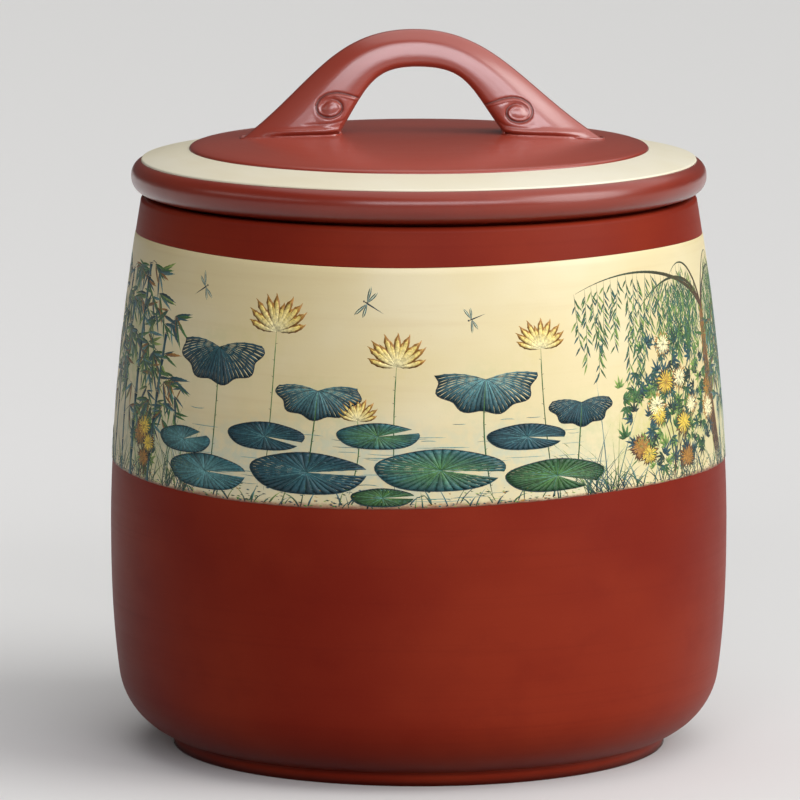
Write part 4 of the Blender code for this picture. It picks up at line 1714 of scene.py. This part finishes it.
# %% Draw the lines of the tool
GROOVE_LINE = [
    (-13.5, 2.6), (-10.5, 3.6), (-6.6, 4.9), (-2.4, 5.6), (1.6, 4.9), (4.7, 2.8), (6.0, 0.0), (5.3, -2.7),
    (2.9, -4.2), (-0.4, -4.4), (-3.2, -3.3), (-4.7, -1.3), (-4.4, 0.9), (-2.8, 2.4), (-0.6, 2.9), (1.6, 2.2),
    (2.9, 0.7),
]
CREASE_LINE = [(-10.4, -1.0), (-8.6, -3.6), (-5.6, -5.4), (-1.5, -6.5), (4.0, -7.2), (12.0, -7.6)]
LINE_SMOOTHINGS = 24


def smooth_line(line, steps):
    """A row of places joined by a smooth curve."""
    places = np.array(line)
    marks = np.arange(len(places))
    fine = np.linspace(0, len(places) - 1, steps)
    curve = np.stack([np.interp(fine, marks, places[:, k]) for k in (0, 1)], axis=1)
    for _ in range(LINE_SMOOTHINGS):
        curve[1:-1] = (curve[:-2] + 2 * curve[1:-1] + curve[2:]) / 4
    return curve


def distance_to(curve, x, z):
    """How far points are from a curve, and on which side: positive on its right hand."""
    gap_x = x[:, None] - curve[None, :, 0]
    gap_z = z[:, None] - curve[None, :, 1]
    nearest = (gap_x ** 2 + gap_z ** 2).argmin(axis=1)
    every = np.arange(len(x))
    off_x = gap_x[every, nearest]
    off_z = gap_z[every, nearest]
    ahead = np.gradient(curve, axis=0)[nearest]
    side = np.sign(ahead[:, 1] * off_x - ahead[:, 0] * off_z)
    return np.hypot(off_x, off_z), side, nearest / (len(curve) - 1)


print("the groove turns through", len(GROOVE_LINE), "places, the crease through", len(CREASE_LINE))

# %% Work out the relief
GROOVE_STEPS = 260
GROOVE_DEPTH = 0.75
GROOVE_WIDTH = 0.38
CREASE_STEPS = 160
CREASE_DEPTH = 0.35
CREASE_WIDTH = 0.50
RIM_RISE = 0.55
RIM_PLACE = 0.88
RIM_WIDTH = 0.34
SWELL = 0.80
SWELL_HEART = (-2.4, -0.4, 6.2)
SWELL_EDGE = 1.6
SWELL_START = 0.9
ROLLED_FROM = 0.34
ROLLED_OVER = 0.16
EYE = (-0.5, -0.8, 4.2)
EYE_RISE = 0.60
LIP_PLACE = 2.0
LIP_RISE = 0.75
LIP_WIDTH = 0.9
LIP_TOE = 28
LIP_HEEL = -12
TOE_FADE = 12
HEEL_FADE = 6
UNDERCUT = 1.1
UNDERCUT_HEIGHT = 1.1
UNDERCUT_TOE = 30


def hump(value, middle, half_width):
    return np.exp(-((value - middle) / half_width) ** 2)


def ramp(value):
    """The value, held between 0 and 1."""
    return np.clip(value, 0, 1)


def from_spot(x, z, spot):
    """Distance from a round spot's middle, where 1 is the spot's own radius."""
    return np.hypot(x - spot[0], z - spot[1]) / spot[2]


def relief(x, z, up):
    """How far the face moves out, in millimetres, and how deep it lies in a groove, 0 to 1."""
    gap, side, share = distance_to(smooth_line(GROOVE_LINE, GROOVE_STEPS), x, z)
    crease_gap, _, crease_share = distance_to(smooth_line(CREASE_LINE, CREASE_STEPS), x, z)
    fade = ramp(4 * (1 - share))
    groove = hump(gap, 0, GROOVE_WIDTH) * fade
    rim = RIM_RISE * hump(gap, RIM_PLACE, RIM_WIDTH) * (side > 0) * fade
    rolled = np.where(side > 0, 1.0, ramp((share - ROLLED_FROM) / ROLLED_OVER))
    inside = ramp(SWELL_EDGE - from_spot(x, z, SWELL_HEART)) * rolled
    swell = SWELL * inside * (1 - np.exp(-gap / SWELL_START))
    eye = EYE_RISE * ramp(1 - from_spot(x, z, EYE) ** 2)
    crease = hump(crease_gap, 0, CREASE_WIDTH) * ramp(6 * (1 - crease_share))
    lip = LIP_RISE * hump(up, LIP_PLACE, LIP_WIDTH)
    lip = lip * ramp((LIP_TOE - x) / TOE_FADE) * ramp((x - LIP_HEEL) / HEEL_FADE)
    under = UNDERCUT * ramp(1 - up / UNDERCUT_HEIGHT) * ramp((UNDERCUT_TOE - x) / TOE_FADE)
    out = swell + eye + rim + lip - under - GROOVE_DEPTH * groove - CREASE_DEPTH * crease
    return out, np.maximum(groove, 0.5 * crease)


print("share of a hump at its half width:", float(hump(1.0, 0.0, 1.0)))

# %% Carve the scrolls
CARVED_FROM = -15
CARVED_TO = 37
CARVED_UP = 12
FACING_LEAST = 0.05
FACING_GAIN = 1.6
FACE_LIMIT = FOOT_PIECE_WIDTH / 2 + 0.0004
SCROLLS = {-1: (0.0357, 0.0114), 1: (0.0394, 0.0096)}


def carve(piece):
    """Moves the faces of both feet in and out, and keeps how deep a point lies in a groove."""
    points = read_points(piece)
    normals = read_points(piece, "normal")
    seam = np.zeros(len(points))
    for side, (eye_x, eye_up) in SCROLLS.items():
        middle = lean(side * eye_x, dome_height(eye_x) + eye_up)
        x = side * (points[:, 0] - middle) / MILLIMETRE
        dome = dome_height(np.hypot(points[:, 0], points[:, 1]))
        up = (points[:, 2] - dome) / MILLIMETRE
        z = (points[:, 2] - dome_height(eye_x) - eye_up) / MILLIMETRE
        on_foot = (x > CARVED_FROM) & (x < CARVED_TO) & (z < CARVED_UP)
        on_face = (np.abs(normals[:, 1]) > FACING_LEAST) & (np.abs(points[:, 1]) < FACE_LIMIT)
        near = np.where(on_foot & on_face)[0]
        out, depth = relief(x[near], z[near], up[near])
        facing = np.sign(normals[near, 1]) * ramp(np.abs(normals[near, 1]) * FACING_GAIN)
        points[near, 1] += facing * out * MILLIMETRE
        seam[near] = np.maximum(seam[near], depth * np.abs(facing))
    write_points(piece, points)
    kept = piece.data.attributes.new("seam", "FLOAT", "POINT")
    kept.data.foreach_set("value", seam.astype(np.float32))


carve(bridge_handle)
apply_modifier(bridge_handle, "SMOOTH", factor=0.4, iterations=1)
HANDLE_FINISH = red_clay(
    "red_clay_handle", gloss=1.0, dull=0.26, painted_light=0.50, seams=True, coat=(0.55, 0.24),
)
settle(
    bridge_handle, "lid", "red_clay", HANDLE_FINISH, "lid_handle",
    "handle_scroll_front_left", "handle_scroll_front_right",
    "handle_scroll_back_left", "handle_scroll_back_right",
)

# %% [markdown]
# ## Floor and light
#
# The floor is a plain pale sheet. A soft light from high above and a firmer one from the right
# stand so far away that they reach jar and floor evenly. A wide strip lamp in front, above the
# camera, lays the long highlight on the rim and the handle, and a weaker strip on the left
# lifts the shaded side. All is set over an even grey surround, at a level at which a colour
# renders about as it is written.
#
# The sheet gives back less light to the jar than it shows to the camera, so that the heel and
# the foot keep their depth. Nodes that tell how a ray came to the sheet part the two.

# %% Lay the floor
FLOOR_SIZE = 14
FLOOR_COLOUR = (0.72, 0.715, 0.70, 1.0)
FLOOR_BOUNCE = (0.10, 0.097, 0.094, 1.0)
FLOOR_ROUGHNESS = 0.8

deselect()
bpy.ops.mesh.primitive_plane_add(size=FLOOR_SIZE, location=(0, 0, 0))
floor = bpy.context.object
floor.name = "floor"
paper = Finish("pale_floor")
seen = paper.node("ShaderNodeLightPath", output="Is Camera Ray")
for way in ("Is Glossy Ray", "Is Transmission Ray"):
    seen = seen + paper.node("ShaderNodeLightPath", output=way)
pale = paper.blend(seen, FLOOR_BOUNCE, FLOOR_COLOUR)
floor.data.materials.append(paper.set(Base_Color=pale, Roughness=FLOOR_ROUGHNESS))
print("floor", floor.name, tuple(floor.dimensions))

# %% Hang the lamps
LIT_PLACE = (0, 0, 0.22)
SURROUND = 0.07


def soft_lamp(name, place, size, power, tint):
    """A strip lamp that is turned to the lid."""
    bpy.ops.object.light_add(type="AREA", location=place)
    lamp = bpy.context.object
    lamp.name = name
    lamp.data.shape = "RECTANGLE"
    lamp.data.size = size[0]
    lamp.data.size_y = size[1]
    lamp.data.energy = power
    lamp.data.color = tint
    direction = Vector(LIT_PLACE) - Vector(place)
    lamp.rotation_euler = direction.to_track_quat("-Z", "Y").to_euler()


def high_light(name, place, spread_angle, strength):
    """A lamp so far away that it lights jar and floor evenly, from the direction of a place."""
    bpy.ops.object.light_add(type="SUN", location=place)
    lamp = bpy.context.object
    lamp.name = name
    lamp.data.angle = radians(spread_angle)
    lamp.data.energy = strength
    lamp.rotation_euler = (-Vector(place)).to_track_quat("-Z", "Y").to_euler()


high_light("sky", place=(0.7, 0.3, 2.0), spread_angle=90, strength=1.55)
high_light("right_light", place=(2.0, -0.75, 1.0), spread_angle=46, strength=2.32)
soft_lamp("front_lamp", place=(1.0, -7.0, 3.6), size=(8.8, 2.0), power=385, tint=(0.96, 0.94, 1.0))
soft_lamp("left_lamp", place=(-4.2, -1.5, 2.1), size=(4.4, 0.8), power=17, tint=(1.0, 0.96, 0.94))

world = bpy.data.worlds.new("surround")
bpy.context.scene.world = world
world.use_nodes = True
world.node_tree.nodes["Background"].inputs["Color"].default_value = (1, 1, 1, 1)
world.node_tree.nodes["Background"].inputs["Strength"].default_value = SURROUND

# %% [markdown]
